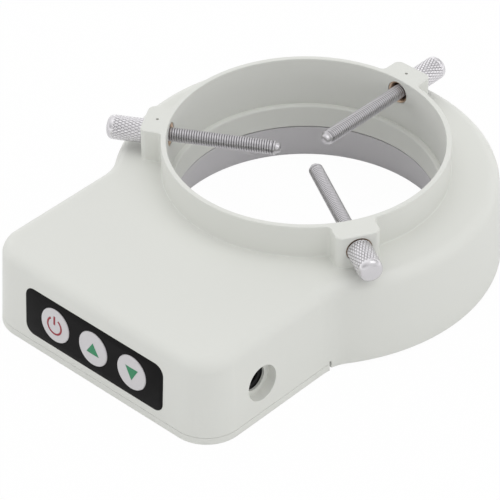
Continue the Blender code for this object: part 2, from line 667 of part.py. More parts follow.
def make_screws(material, front_frame):
    """The fixed screws: under the arm cover, on the driver board, behind the panel, under the carrier."""
    for number, (x, y) in enumerate(COVER_SCREW_PLACES, 1):
        place_screw(f"cover_screw_{number}", COVER_SCREW_HEAD_RADIUS, COVER_SCREW_HEAD, COVER_SCREW_RADIUS,
                    COVER_SCREW_LENGTH, (x, y, COVER_SCREW_SINK + COVER_SCREW_HEAD), material)
    for number, (x, y) in enumerate(DRIVER_SCREW_PLACES, 1):
        screw = place_small_screw(f"board_screw_{number}", SMALL_SCREW_LENGTH, (x, y, PART_SEAT), material)
        screw.rotation_euler = (math.pi, 0, 0)
    length = PANEL_SCREW_END - BUTTON_BOARD_BACK + CLEARANCE
    for number, (x, y) in enumerate(PANEL_SCREW_PLACES, 1):
        place_small_screw(f"panel_screw_{number}", length, (x, y, BUTTON_BOARD_BACK - CLEARANCE), material,
                          front_frame)
    for number, (x, y) in enumerate(CARRIER_SCREW_PLACES, 1):
        place_small_screw(f"carrier_screw_{number}", CARRIER_SCREW_LENGTH, (x, y, CARRIER_SCREW_SEAT),
                          material)


# Button panel, in the front wall's frame: X across, Y up the wall, Z out of it

def make_panel(materials, front_frame):
    outline = rounded_outline(PANEL_WIDTH, PANEL_HEIGHT, PANEL_CORNER, CORNER_STEPS)
    overlay = place("panel_overlay", prism_mesh("panel_overlay", outline, PANEL_PROUD - PANEL_THICKNESS,
                                                PANEL_PROUD), materials["overlay"], front_frame)
    holes = cylinders_mesh("overlay_hole_guide", BUTTON_PLACES, BUTTON_RADIUS + CLEARANCE,
                           -PANEL_THICKNESS - OVERRUN, OVERRUN, ROUND_STEPS)
    cut(overlay, place_guide("overlay_hole_guide", holes, front_frame))
    flange = BUTTON_RADIUS + BUTTON_FLANGE
    profile = [(0, STEM_END), (BUTTON_STEM_RADIUS, STEM_END), (BUTTON_STEM_RADIUS, FLANGE_BACK),
               (flange, FLANGE_BACK), (flange, FLANGE_TOP), (BUTTON_RADIUS, FLANGE_TOP),
               (BUTTON_RADIUS, BUTTON_PROUD - 2 * BUTTON_EDGE),
               (BUTTON_RADIUS - BUTTON_EDGE, BUTTON_PROUD - BUTTON_EDGE / 2),
               (BUTTON_RADIUS / 2, BUTTON_PROUD), (0, BUTTON_PROUD)]
    plunger_profile = [(0, PLUNGER_END), (PLUNGER_RADIUS, PLUNGER_END), (PLUNGER_RADIUS, PLUNGER_TOP),
                       (0, PLUNGER_TOP)]
    for name, (x, y) in zip(BUTTON_NAMES, BUTTON_PLACES):
        button = place(f"{name}_button", turned_mesh("button", profile, ROUND_STEPS), materials["button"],
                       front_frame)
        button.location = (x, y, 0)
        plunger = place(f"{name}_plunger", turned_mesh("plunger", plunger_profile, SMALL_STEPS),
                        materials["plunger"], front_frame)
        plunger.location = (x, y, 0)
        body = prism_mesh("switch", box_outline((0, 0), SWITCH_WIDTH, SWITCH_WIDTH), SWITCH_BASE, SWITCH_TOP)
        switch = place(f"{name}_switch", body, materials["switch"], front_frame)
        switch.location = (x, y, 0)
        well = PLUNGER_END - BUTTON_TRAVEL - CLEARANCE
        hole = cylinders_mesh("switch_hole_guide", [(x, y)], PLUNGER_RADIUS + CLEARANCE, well,
                              SWITCH_TOP + OVERRUN)
        cut(switch, place_guide(f"{name}_switch_guide", hole, front_frame))


def make_button_board(materials, front_frame):
    half = PANEL_SCREW_ACROSS + BUTTON_BOARD_MARGIN
    outline = [(-half, -BUTTON_BOARD_DROP), (half, -BUTTON_BOARD_DROP), (half, BUTTON_BOARD_RISE),
               (-half, BUTTON_BOARD_RISE)]
    board = place("button_board", prism_mesh("button_board", outline, BUTTON_BOARD_BACK, BUTTON_BOARD_FRONT),
                  materials["board"], front_frame)
    holes = cylinders_mesh("button_board_guide", PANEL_SCREW_PLACES, SMALL_HOLE_RADIUS,
                           BUTTON_BOARD_BACK - OVERRUN, BUTTON_BOARD_FRONT + OVERRUN)
    cut(board, place_guide("button_board_guide", holes, front_frame))
    face = BUTTON_BOARD_BACK - CLEARANCE
    header_at = (driver_places()["socket"] - PANEL_CENTRE_X, HEADER_RISE)
    outline = box_outline(header_at, HEADER_WIDTH, HEADER_HEIGHT)
    place("button_header", prism_mesh("button_header", outline, face - HEADER_DEPTH, face),
          materials["connector"], front_frame)


# Driver board in the arm

def driver_places():
    """Where the parts stand across the board, evenly spaced between the jack and the left edge."""
    widths = {"socket": HEADER_WIDTH, "coil": 2 * COIL_RADIUS, "large_capacitor": 2 * LARGE_CAPACITOR_RADIUS,
              "small_capacitor": 2 * SMALL_CAPACITOR_RADIUS, "plug": PLUG_WIDTH}
    edge = JACK_FACE - JACK_LENGTH
    spacing = (edge + DRIVER_HALF_WIDTH - DRIVER_MARGIN - sum(widths.values())) / len(widths)
    places = {}
    for name, width in widths.items():
        places[name] = edge - spacing - width / 2
        edge -= spacing + width
    return places


def ribbon_place():
    """Where the ribbon leaves the header, in the lamp's Y and Z."""
    out = BUTTON_BOARD_BACK - 2 * CLEARANCE - HEADER_DEPTH
    y = FRONT_AT.y + HEADER_RISE * math.sin(DRAFT_ANGLE) - out * math.cos(DRAFT_ANGLE)
    z = FRONT_AT.z + HEADER_RISE * math.cos(DRAFT_ANGLE) + out * math.sin(DRAFT_ANGLE)
    return y, z


def make_driver_board(materials):
    places = driver_places()
    reach = COVER_BOSS_RADIUS + CLEARANCE
    tongue, shoulder = COVER_SCREW_ACROSS - reach, COVER_SCREW_FRONT + reach
    right_side = [(tongue, DRIVER_FRONT), (tongue, shoulder), (DRIVER_HALF_WIDTH, shoulder),
                  (DRIVER_HALF_WIDTH, DRIVER_REAR)]
    outline = right_side + [(-x, y) for x, y in reversed(right_side)]
    board = place("driver_board", prism_mesh("driver_board", outline, DRIVER_LIFT, DRIVER_TOP),
                  materials["board"])
    holes = cylinders_mesh("driver_board_guide", DRIVER_SCREW_PLACES, SMALL_HOLE_RADIUS,
                           DRIVER_LIFT - OVERRUN, DRIVER_TOP + OVERRUN)
    cut(board, place_guide("driver_board_guide", holes))
    coil_top = COIL_HEIGHT - COIL_FLANGE
    waist = COIL_RADIUS - COIL_WAIST
    profile = [(0, 0), (COIL_RADIUS, 0), (COIL_RADIUS, COIL_FLANGE), (waist, COIL_FLANGE), (waist, coil_top),
               (COIL_RADIUS, coil_top), (COIL_RADIUS, COIL_HEIGHT), (0, COIL_HEIGHT)]
    coil = place("driver_coil", turned_mesh("driver_coil", profile, SMALL_STEPS), materials["coil"])
    coil.location = (places["coil"], INLET_Y, PART_SEAT)
    for name, radius, height in (("large_capacitor", LARGE_CAPACITOR_RADIUS, LARGE_CAPACITOR_HEIGHT),
                                 ("small_capacitor", SMALL_CAPACITOR_RADIUS, SMALL_CAPACITOR_HEIGHT)):
        neck = radius - CAPACITOR_GROOVE
        below, waist, above = (height * share for share in CAPACITOR_GROOVE_SHARES)
        profile = [(0, 0), (radius, 0), (radius, below), (neck, waist), (radius, above),
                   (radius, height - CAPACITOR_GROOVE), (neck, height), (0, height)]
        can = place(name, turned_mesh(name, profile, SMALL_STEPS), materials["capacitor"])
        can.location = (places[name], INLET_Y, PART_SEAT)
    chip_at = (places["small_capacitor"], INLET_Y - CHIP_FORWARD)
    place("driver_chip", prism_mesh("driver_chip", box_outline(chip_at, CHIP_WIDTH, CHIP_DEPTH), PART_SEAT,
                                    PART_SEAT + CHIP_HEIGHT), materials["chip"])
    plug = box_outline((places["plug"], INLET_Y), PLUG_WIDTH, PLUG_DEPTH)
    place("led_connector", prism_mesh("led_connector", plug, PART_SEAT, PART_SEAT + PLUG_HEIGHT),
          materials["connector"])
    make_ribbon(materials, places["socket"])


def make_ribbon(materials, across):
    """The flat cable: straight out of the header, over one bend and down into the socket."""
    start_y, start_z = ribbon_place()
    socket_y = start_y + RIBBON_RUN + RIBBON_BEND
    socket_top = PART_SEAT + SOCKET_HEIGHT
    socket = box_outline((across, socket_y), HEADER_WIDTH, SOCKET_DEPTH)
    place("ribbon_socket", prism_mesh("ribbon_socket", socket, PART_SEAT, socket_top), materials["connector"])
    half = RIBBON_THICKNESS / 2
    centre = (start_y + RIBBON_RUN, start_z - RIBBON_BEND)
    outer = [(start_y, start_z + half)] + arc(centre, RIBBON_BEND + half, math.pi / 2, 0, CORNER_STEPS)
    outer.append((socket_y + half, socket_top + CLEARANCE))
    inner = [(start_y, start_z - half)] + arc(centre, RIBBON_BEND - half, math.pi / 2, 0, CORNER_STEPS)
    inner.append((socket_y - half, socket_top + CLEARANCE))
    section = outer + inner[::-1]
    builder = bmesh.new()
    add_loft(builder, [[(across + side * RIBBON_WIDTH / 2, y, z) for y, z in section] for side in (-1, 1)])
    place("button_ribbon", finish_mesh("button_ribbon", builder), materials["ribbon"])


def make_jack(materials, inlet_frame):
    """The inlet's socket, with its length along the inlet frame's Z and its rise along -X."""
    drop = INLET_Z - PART_SEAT
    outline = [(-JACK_RISE, -JACK_WIDTH / 2), (drop, -JACK_WIDTH / 2), (drop, JACK_WIDTH / 2),
               (-JACK_RISE, JACK_WIDTH / 2)]
    jack = place("inlet_jack", prism_mesh("inlet_jack", outline, JACK_FACE - JACK_LENGTH, JACK_FACE),
                 materials["jack"], inlet_frame)
    floor = JACK_FACE - JACK_BORE_DEPTH
    bore = cylinders_mesh("jack_bore_guide", [(0, 0)], JACK_BORE_RADIUS, floor, JACK_FACE + OVERRUN,
                          ROUND_STEPS)
    cut(jack, place_guide("jack_bore_guide", bore, inlet_frame))
    tip = JACK_FACE - JACK_PIN_SINK
    profile = [(0, floor + CLEARANCE), (JACK_PIN_RADIUS, floor + CLEARANCE),
               (JACK_PIN_RADIUS, tip - JACK_PIN_RADIUS / 2), (JACK_PIN_RADIUS / 2, tip), (0, tip)]
    place("inlet_pin", turned_mesh("inlet_pin", profile, SMALL_STEPS), materials["pin"], inlet_frame)


# LED carrier and what it holds

def make_carrier(materials):
    under = CARRIER_TOP - CARRIER_FLANGE
    profile = [(carrier_inner_radius(CARRIER_TOP), CARRIER_TOP),
               (carrier_inner_radius(RING_BASE), RING_BASE),
               (carrier_inner_radius(RING_BASE) + CARRIER_WALL, RING_BASE),
               (carrier_inner_radius(under) + CARRIER_WALL, under),
               (CARRIER_REACH, under), (CARRIER_REACH, CARRIER_TOP)]
    carrier = place("led_carrier", turned_mesh("led_carrier", profile, RING_STEPS), materials["carrier"])
    builder = bmesh.new()
    for centre in CARRIER_SCREW_PLACES:
        add_cylinder(builder, centre, SMALL_HOLE_RADIUS, under - OVERRUN, CARRIER_TOP + OVERRUN, SMALL_STEPS)
    add_cylinder(builder, polar(CARRIER_SCREW_CIRCLE, LEAD_HOLE_ANGLE), LEAD_HOLE_RADIUS, under - OVERRUN,
                 CARRIER_TOP + OVERRUN, SMALL_STEPS)
    cut(carrier, place_guide("carrier_hole_guide", finish_mesh("carrier_hole_guide", builder)))
    make_led_board(materials)
    inner = carrier_inner_radius(RING_BASE) + CARRIER_WALL + CLEARANCE
    outer = RING_INNER_RADIUS - CLEARANCE
    profile = [(inner, 0), (outer, 0), (outer, DIFFUSER_THICKNESS), (inner, DIFFUSER_THICKNESS)]
    place("diffuser", turned_mesh("diffuser", profile, RING_STEPS), materials["diffuser"])


def make_led_board(materials):
    inner = carrier_inner_radius(BOARD_UNDERSIDE) + CARRIER_WALL + CLEARANCE
    profile = [(inner, BOARD_UNDERSIDE), (CARRIER_REACH, BOARD_UNDERSIDE), (CARRIER_REACH, BOARD_TOP),
               (inner, BOARD_TOP)]
    board = place("led_board", turned_mesh("led_board", profile, RING_STEPS), materials["board"])
    holes = cylinders_mesh("led_board_guide", CARRIER_SCREW_PLACES, SMALL_HOLE_RADIUS,
                           BOARD_UNDERSIDE - OVERRUN, BOARD_TOP + OVERRUN)
    cut(board, place_guide("led_board_guide", holes))
    add_led_row("led_row_inner", LED_ROW_START, materials["led"])
    add_led_row("led_row_outer", CARRIER_REACH - LED_ROW_WIDTH, materials["led"])


def add_led_row(name, start, material):
    """A thin ring from a start radius outward, with one LED under each of its sectors."""
    end, top = start + LED_ROW_WIDTH, CARRIER_SCREW_SEAT
    profile = [(start, top - LED_BASE), (end, top - LED_BASE), (end, top), (start, top)]
    builder = bmesh.new()
    add_turned(builder, profile, LED_COUNT)
    bmesh.ops.recalc_face_normals(builder, faces=builder.faces)
    under = [face for face in builder.faces if face.normal.z < -0.9]
    bmesh.ops.inset_individual(builder, faces=under, thickness=LED_ROW_MARGIN, use_even_offset=True)
    grown = bmesh.ops.extrude_discrete_faces(builder, faces=under)
    verts = {vert for face in grown["faces"] for vert in face.verts}
    bmesh.ops.translate(builder, verts=list(verts), vec=(0, 0, -LED_HEIGHT))
    place(name, finish_mesh(name, builder), material)


def smooth_route(points, samples):
    """Points along a smooth curve through the given ones."""
    padded = [points[0]] + points + [points[-1]]
    route = []
    for i in range(1, len(padded) - 2):
        before, start, end, after = (Vector(point) for point in padded[i - 1:i + 3])
        for step in range(samples):
            t = step / samples
            bend = (start - before).lerp(end - start, 0.5) if i > 1 else end - start
            turn = (end - start).lerp(after - end, 0.5) if i < len(padded) - 3 else end - start
            route.append((2 * t ** 3 - 3 * t ** 2 + 1) * start + (t ** 3 - 2 * t ** 2 + t) * bend
                         + (3 * t ** 2 - 2 * t ** 3) * end + (t ** 3 - t ** 2) * turn)
    route.append(Vector(points[-1]))
    return route


def make_leads(materials):
    """Two leads: up from the connector, over the partition and down through the carrier's hole."""
    hole_x, hole_y = polar(CARRIER_SCREW_CIRCLE, LEAD_HOLE_ANGLE)
    start_x = driver_places()["plug"]
    start_z = PART_SEAT + PLUG_HEIGHT + CLEARANCE
    end_z = BOARD_TOP + CLEARANCE
    crossing = (PARTITION_TOP + PLATE_UNDERSIDE) / 2
    for name, side in (("led_lead_red", -1), ("led_lead_black", 1)):
        shift = side * LEAD_SPACING / 2
        start = Vector((start_x + shift, INLET_Y, start_z))
        end = Vector((hole_x + shift, hole_y, end_z))
        rise, fall = Vector((start.x, start.y, crossing)), Vector((end.x, end.y, crossing))
        points = [start, start.lerp(rise, LEAD_RISE_SHARE), rise.lerp(fall, LEAD_TURN_SHARE),
                  (rise + fall) / 2, fall.lerp(rise, LEAD_TURN_SHARE), end.lerp(fall, LEAD_RISE_SHARE), end]
        curve = bpy.data.curves.new(name, "CURVE")
        curve.dimensions = "3D"
        curve.bevel_depth = LEAD_RADIUS
        curve.bevel_resolution = 1
        curve.use_fill_caps = True
        spline = curve.splines.new("POLY")
        route = smooth_route(points, LEAD_SAMPLES)
        spline.points.add(len(route) - 1)
        for point, place_at in zip(spline.points, route):
            point.co = (*place_at, 1)
        curve.materials.append(materials[name])
        lead = bpy.data.objects.new(name, curve)
        bpy.context.scene.collection.objects.link(lead)


# Thumbscrews, in frames whose Z points out from the bore's axis

def make_thumbscrew(name, materials, frame):
    shaft_end = SCREW_TIP_REACH + TIP_LENGTH + CLEARANCE
    head_face = BOSS_FACE + CLEARANCE
    head_end = head_face + HEAD_LENGTH
    socket = TIP_SPIGOT_RADIUS + CLEARANCE
    socket_end = shaft_end + TIP_SPIGOT_LENGTH
    profile = [(socket, shaft_end), (SCREW_RADIUS, shaft_end), (SCREW_RADIUS, head_face),
               (HEAD_RADIUS, head_face), (HEAD_RADIUS, head_end - HEAD_CHAMFER),
               (HEAD_RADIUS - HEAD_CHAMFER / 3, head_end - HEAD_CHAMFER / 3),
               (HEAD_RADIUS - HEAD_CHAMFER, head_end), (0, head_end), (0, socket_end), (socket, socket_end)]
    place(f"thumbscrew_{name}", turned_mesh("thumbscrew", profile, ROUND_STEPS), materials["steel"], frame)
    shoulder = SCREW_TIP_REACH + TIP_LENGTH
    profile = [(SCREW_RADIUS * math.sin(turn), shoulder - TIP_LENGTH * math.cos(turn))
               for turn in (step * math.pi / 8 for step in range(1, 5))]
    profile = [(0, SCREW_TIP_REACH)] + profile
    profile += [(TIP_SPIGOT_RADIUS, shoulder), (TIP_SPIGOT_RADIUS, shoulder + TIP_SPIGOT_LENGTH),
                (0, shoulder + TIP_SPIGOT_LENGTH)]
    place(f"screw_tip_{name}", turned_mesh("screw_tip", profile, ROUND_STEPS), materials["steel"], frame)
    bore = SCREW_RADIUS + CLEARANCE
    mouth = bore + INSERT_CHAMFER
    start = BORE_RADIUS + INSERT_SINK
    end = BOSS_FACE - INSERT_SINK
    profile = [(bore, start + INSERT_CHAMFER), (mouth, start), (INSERT_RADIUS, start), (INSERT_RADIUS, end),
               (mouth, end), (bore, end - INSERT_CHAMFER)]
    place(f"insert_{name}", turned_mesh("insert", profile, ROUND_STEPS), materials["brass"], frame)


def make_all():
    for shape in list(bpy.data.objects):
        bpy.data.objects.remove(shape)
    materials = {
        "housing": make_material("off_white_plastic", (221, 222, 217), 0.45),
        "overlay": make_material("black_overlay", (35, 35, 35), 0.4),
        "button": make_material("pale_button", (213, 213, 216), 0.4),
        "plunger": make_material("black_plastic", (40, 40, 42), 0.5),
        "switch": make_material("switch_plastic", (60, 60, 64), 0.5),
        "board": make_material("green_board", (35, 92, 60), 0.5),
        "connector": make_material("white_nylon", (226, 222, 208), 0.5),
        "ribbon": make_material("grey_ribbon", (150, 150, 155), 0.5),
        "coil": make_material("ferrite_coil", (70, 60, 55), 0.6),
        "capacitor": make_material("capacitor_can", (60, 66, 90), 0.35),
        "chip": make_material("chip_resin", (28, 28, 30), 0.6),
        "jack": make_material("jack_plastic", (25, 25, 26), 0.45),
        "pin": make_material("nickel_pin", (190, 186, 175), 0.25, 1.0),
        "carrier": make_material("grey_plastic", (143, 143, 145), 0.5),
        "led": make_material("led_resin", (240, 232, 170), 0.3),
        "diffuser": make_material("frosted_plastic", (236, 238, 240), 0.6),
        "steel": make_material("nickel_steel", (178, 172, 176), 0.3, 1.0),
        "screw": make_material("zinc_screw", (170, 172, 176), 0.35, 1.0),
        "brass": make_material("brass_insert", (150, 110, 75), 0.4, 1.0),
        "led_lead_red": make_material("red_insulation", (180, 40, 38), 0.5),
        "led_lead_black": make_material("black_insulation", (30, 30, 32), 0.5),
    }
    front_frame = make_frame("front_frame", FRONT_AT, (math.pi / 2 - DRAFT_ANGLE, 0, 0))
    inlet_frame = make_frame("inlet_frame", (0, INLET_Y, INLET_Z), (0, math.pi / 2, 0))
    screw_frames = {name: make_frame(f"screw_frame_{name}", (0, 0, SCREW_HEIGHT), (0, math.pi / 2, angle))
                    for name, angle in SCREW_ANGLES.items()}
    make_housing(materials["housing"], front_frame, inlet_frame, screw_frames)
    make_cover(materials["housing"])
    make_panel(materials, front_frame)
    make_button_board(materials, front_frame)
    make_driver_board(materials)
    make_jack(materials, inlet_frame)
    make_carrier(materials)
    make_leads(materials)
    make_screws(materials["screw"], front_frame)
    for name, frame in screw_frames.items():
        make_thumbscrew(name, materials, frame)


make_all()
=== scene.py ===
"""Looks of the microscope LED lamp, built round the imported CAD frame.

Points are worked out in millimetres and become metres when a mesh is made. The bore's axis is Z, the arm
points along -Y and the power inlet is on the +X side, as in the CAD frame.
"""

from math import acos, atan2, cos, hypot, pi, radians, sin, sqrt, tan

import bmesh
import bpy
import numpy as np
from mathutils import Matrix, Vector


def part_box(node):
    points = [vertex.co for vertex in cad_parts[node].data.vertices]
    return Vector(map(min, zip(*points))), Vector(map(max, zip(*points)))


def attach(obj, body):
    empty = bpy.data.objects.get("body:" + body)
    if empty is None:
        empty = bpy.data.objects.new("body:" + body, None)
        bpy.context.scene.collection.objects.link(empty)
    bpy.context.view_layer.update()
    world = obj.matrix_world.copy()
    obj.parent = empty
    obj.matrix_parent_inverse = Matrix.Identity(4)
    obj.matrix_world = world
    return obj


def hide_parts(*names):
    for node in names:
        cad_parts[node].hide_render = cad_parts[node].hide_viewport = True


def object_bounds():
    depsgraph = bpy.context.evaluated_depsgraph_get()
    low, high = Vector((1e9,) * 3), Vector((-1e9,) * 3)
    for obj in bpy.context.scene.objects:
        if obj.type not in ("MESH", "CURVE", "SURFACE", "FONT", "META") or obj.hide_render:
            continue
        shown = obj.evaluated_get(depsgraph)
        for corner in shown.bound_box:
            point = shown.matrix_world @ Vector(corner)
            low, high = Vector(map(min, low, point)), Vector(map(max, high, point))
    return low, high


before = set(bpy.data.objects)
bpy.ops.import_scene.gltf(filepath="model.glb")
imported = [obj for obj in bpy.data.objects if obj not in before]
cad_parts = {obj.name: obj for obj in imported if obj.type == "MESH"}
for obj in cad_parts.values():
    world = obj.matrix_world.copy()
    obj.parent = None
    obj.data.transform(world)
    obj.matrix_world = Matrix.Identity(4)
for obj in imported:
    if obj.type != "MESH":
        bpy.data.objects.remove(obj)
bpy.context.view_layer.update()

MM = 0.001
FULL = 2 * pi
QUARTER = pi / 2

# How far a cutter stands out of what it cuts, a reach beyond the lamp's side, and a hair's breadth
OVERRUN = 2.0
BEYOND = 60.0
HAIR = 0.01

# Sizes of the shells, as in the CAD part
BORE_RADIUS = 38.0
RING_RADIUS = 54.2
ARM_REACH = 82.7
ARM_HALF = 41.55
ARM_CORNER = 10.8
ARM_BLEND = 12.0
RING_BASE = 0.9
HOUSING_TOP = 26.0
TOP_FILLET = 3.8
TOP_RIM = 0.5
DRAFT = radians(3.24)
SLANT = tan(DRAFT)
WALL = 2.2
CLEARANCE = 0.3
COLLAR_TOP = 35.8
COLLAR_RADIUS = 39.46
THROAT_RADIUS = 36.44
LEDGE_HEIGHT = 20.6
CORE_RADIUS = 39.5
PARTITION_TOP = 15.0
COVER_END = 36.0
SEAM_HEIGHT = 2.3
BOSS_HALF = 6.1
BOSS_FACE = 45.26
BOSS_CORNER = 2.0
BOSS_BLEND = 1.5
SCREW_HEIGHT = 31.3
SCREW_ANGLES = {"left": radians(210), "back": radians(90), "front": radians(330)}
DIMPLED = ("left", "back")
DIMPLE_REACH = 41.6
BACK_PAD_Y = -58.4

# Sizes of the grey ring and the diffuser
CARRIER_TOP = 13.45
CARRIER_SINK = 0.15
CARRIER_FLARE = 3.9
CARRIER_WALL = 1.6
CARRIER_FLANGE = 1.5
CARRIER_GAP = 0.6
CARRIER_HOLE_RADIUS = 1.3
LEAD_HOLE_RADIUS = 2.4
LEAD_HOLE_ANGLE = radians(261)
DIFFUSER_THICKNESS = 1.8

# Round posts, pads and holes of the shells: radius, low end and high end. The seat is a stepped hole
COVER_POST = (3.0, 4.3, 24.9)
COVER_PILOT = (1.5, 4, 11.2)
CARRIER_POST = (3.0, CARRIER_TOP + CLEARANCE, 24.9)
CARRIER_PILOT = (1.3, CARRIER_TOP, 19.2)
COVER_BOSS = (4.0, 1, 4)
BOARD_PAD = (2.6, 1, 3.7)
BOARD_PILOT = (1.3, 1.4, 6)
COVER_SEAT = (-OVERRUN, (3.0, 2.2), (1.5, 6))
INLET_CUP = (7.15, 37.36, 39.8)
DIMPLE = (0.45, 34, 38)
BUTTON_HOLE = (5.45, -4, 2)
OVERLAY_HOLE = (5.22, -2, 2)

# Sizes of the panel, its buttons and their marks, seen from the front
PANEL_WIDTH = 50.5
PANEL_HEIGHT = 14.9
PANEL_CORNER = 3.0
PANEL_X = -0.3
PANEL_Z = 12.0
PANEL_GAP = 0.03
PANEL_SEAT = -0.8
BUTTONS = {"power": -14.1, "brighter": 0.0, "dimmer": 14.1}
BUTTON_PLACES = [(x, 0) for x in BUTTONS.values()]
BUTTON_RADIUS = 5.15
DOME_TOP = 0.5
DOME_FALL = 0.14
DOME_START = 4.4
INK_THICKNESS = 0.02
MARK_STEPS = 12
POWER_RING = (2.5, 0.6, radians(122), radians(418))
POWER_BAR = (0.4, 3.1, 0.65)
UP_TRIANGLE = ((0, 2.1), (-2.25, -1.5), (2.25, -1.5))
DOWN_TRIANGLE = ((0, -2.15), (2.25, 1.8), (-2.25, 1.8))

# Sizes of the power inlet, with distances out from the lamp's middle
INLET_AT = (-61.75, 11.25)
INLET_START = 34
INLET_RADIUS = 3.7
RECESS_RADIUS = 5.15
RECESS_BOTTOM = 38.11
SOCKET_FACE = 37.06
SOCKET_SIDES = (-5, 5.35, -4.5, 4.5)
SOCKET_LENGTH = 14
SOCKET_DEPTH = 10
SOCKET_RADIUS = 2.85
LEAD_IN_RADIUS = 3.2
LEAD_IN_DEPTH = 0.4
PIN_RADIUS = 1.0
PIN_SINK = 1.2
PIN_POINT = 0.7

# Sizes of the thumbscrews, with distances out from the bore's axis
SCREW_RADIUS = 2.0
TIP_RADIUS = 1.98
TIP_END = 9.38
SPIGOT_RADIUS = 0.9
SPIGOT_END = 11.6
THREAD_START = 9.4
THREAD_END = 45.2
SHAFT_END = 46.0
THREAD_PITCH = 0.7
THREAD_DEPTH = 0.24
HEAD_FACE = 45.56
HEAD_RADIUS = 3.4
HEAD_DOME = 2.06
DOME_POWER = 0.8
KNURL_START = 45.6
KNURL_END = 53.9
KNURL_CROSSING = 46
KNURL_COUNT = 24
KNURL_PITCH = 1.94
KNURL_DEPTH = 0.2
SHAFT_STEPS = 48
SHAFT_ROWS = 520
HEAD_ROWS = 104
TIP_ROWS = 30

# How much darker the metal is painted, from 0 to 1: painted shade, evenly along a thread's crests and more in
# its roots, in the knurl's grooves, over the head's dome and the tip's nose, down the insert's hole and at
# its flange round the head. What a thread's root has comes on top of what its crest has
CREST_SHADE = 0.32
ROOT_SHADE = 0.4
KNURL_SHADE = 0.7
DOME_SHADE = 0.2
NOSE_SHADE = 0.3
INSERT_SHADE = 0.85
FLANGE_SHADE = 0.45

# Sections of turned pieces: corners with a distance from the axis, a height and a rounding
BUTTON_SIDE = [(0, -4.8, 0), (2, -4.8, 0), (2, -3.5, 0), (6.25, -3.5, 0.15), (6.25, -2.5, 0.15),
               (BUTTON_RADIUS, -2.5, 0), (BUTTON_RADIUS, 0.36, 0.36), (4.6, 0.388, 0)]
NOSE = [(0, 7.2, 0), (1.3, 7.2, 0.7), (1.5, 8.3, 0.3), (1.9, 8.5, 0)]
INSERT_MOUTH = 38.35
INSERT = [(2.25, 39.3, 0.05), (2.85, INSERT_MOUTH, 0.1), (3.22, 38.05, 0.05), (3.3, 38.2, 0), (3.3, 44.7, 0),
          (3.6, 44.72, 0.02), (3.6, 45.2, 0.05), (2.85, 45.2, 0.08), (2.25, 44.6, 0.1)]
COVER_SCREW = [(0, 0.3, 0), (2.2, 0.3, 0.8), (2.7, 1.1, 0.3), (2.7, 1.9, 0), (1.2, 1.9, 0), (1.2, 10.3, 0),
               (0.6, 10.9, 0), (0, 10.9, 0)]

# Finer shapes that only the looks have. Levels are heights with an inset or a scale
EDGE = 0.3
LEDGE_EDGE = 0.6
COLLAR_ROOT = 0.35
COVER_EDGE = 0.4
SEAM_GAP = 0.1
SLIT_GAP = 0.6
SLIT_HEIGHT = 3.15
SLIT_START = 36
OVERLAY_LEVELS = [(-0.5, 0), (0.03, 0), (0.08, 0.02), (0.1, 0.07)]
INSERT_HOLE = 3.36
FLANGE_HOLE = 3.66
FLANGE_DEPTH = 0.6
CROSS_REACH = 1.45
CROSS_HALF = 0.32
CROSS_LEVELS = [(0.1, 1.1), (1.3, 0.5)]

# Light and camera: places in metres, and the camera's azimuth, elevation and roll in degrees
KEY_SIZE = 0.9
KEY_POWER = 1.42
KEY_DISTANCE = 1.1
KEY_TOWARDS = (0.45, 0.25, 0.86)
CAMERA_PLACE = (0.44713, -0.49655, 0.52078)
CAMERA_TURN = (43.281, 38.053, -0.514)
CAMERA_LENS = 219.28
CAMERA_SENSOR = 36
CAMERA_REACH = 20
CAMERA_SHIFT = (-0.0042, -0.0018)

# Floor, in millimetres, and how white the background shows to the camera and in reflections
FLOOR_REACH = 3000
FLOOR_DROP = 0.02
FLOOR_WHITE = 0.975
MIRRORED_WHITE = 0.5


# Meshes from whole arrays

def arc(centre, radius, start, end, steps):
    """Points centre + radius * (cos a, sin a), with a going evenly from start to end."""
    a = np.linspace(start, end, steps + 1)
    return np.stack([centre[0] + radius * np.cos(a), centre[1] + radius * np.sin(a)], axis=1)


def polar(reach, angle):
    """The point (reach * cos angle, reach * sin angle)."""
    return reach * cos(angle), reach * sin(angle)


def fillet(corner, before, after, radius, steps):
    """The arc that rounds a corner: its centre lies radius / sin(half angle) along the corner's bisector."""
    corner, before, after = (np.asarray(point, float) for point in (corner, before, after))
    u, v = before - corner, after - corner
    u, v = u / np.linalg.norm(u), v / np.linalg.norm(v)
    half = acos(float(np.clip(u @ v, -1, 1))) / 2
    centre = corner + (u + v) / np.linalg.norm(u + v) * radius / sin(half)
    first = corner + u * radius / tan(half) - centre
    last = corner + v * radius / tan(half) - centre
    t = np.linspace(0, 1, steps + 1)[:, None]
    sweep = pi - 2 * half
    return centre + (np.sin((1 - t) * sweep) * first + np.sin(t * sweep) * last) / sin(sweep)


def rounded(corners, closed=False, steps=5):
    """A polyline of (x, y, radius) corners, each radius above zero an arc."""
    count = len(corners)
    points = []
    for i, (x, y, radius) in enumerate(corners):
        if radius and (closed or 0 < i < count - 1):
            points.append(fillet((x, y), corners[i - 1][:2], corners[(i + 1) % count][:2], radius, steps))
        else:
            points.append(np.array([[x, y]], float))
    return np.concatenate(points)


def quarter_round(radius, height, edge, steps=5):
    """A quarter circle into a bore's rim: (radius + edge * (1 - cos t), height + edge * (sin t - 1))."""
    t = np.linspace(0, QUARTER, steps + 1)
    return np.column_stack([radius + edge * (1 - np.cos(t)), height + edge * (np.sin(t) - 1)])


def rectangle(left, right, low, high):
    """A rectangle's four corners."""
    return np.array([[left, low], [right, low], [right, high], [left, high]], float)


def lift(outline, height):
    """Outline points (x, y) become (x, y, height)."""
    return np.column_stack([outline, np.full(len(outline), float(height))])


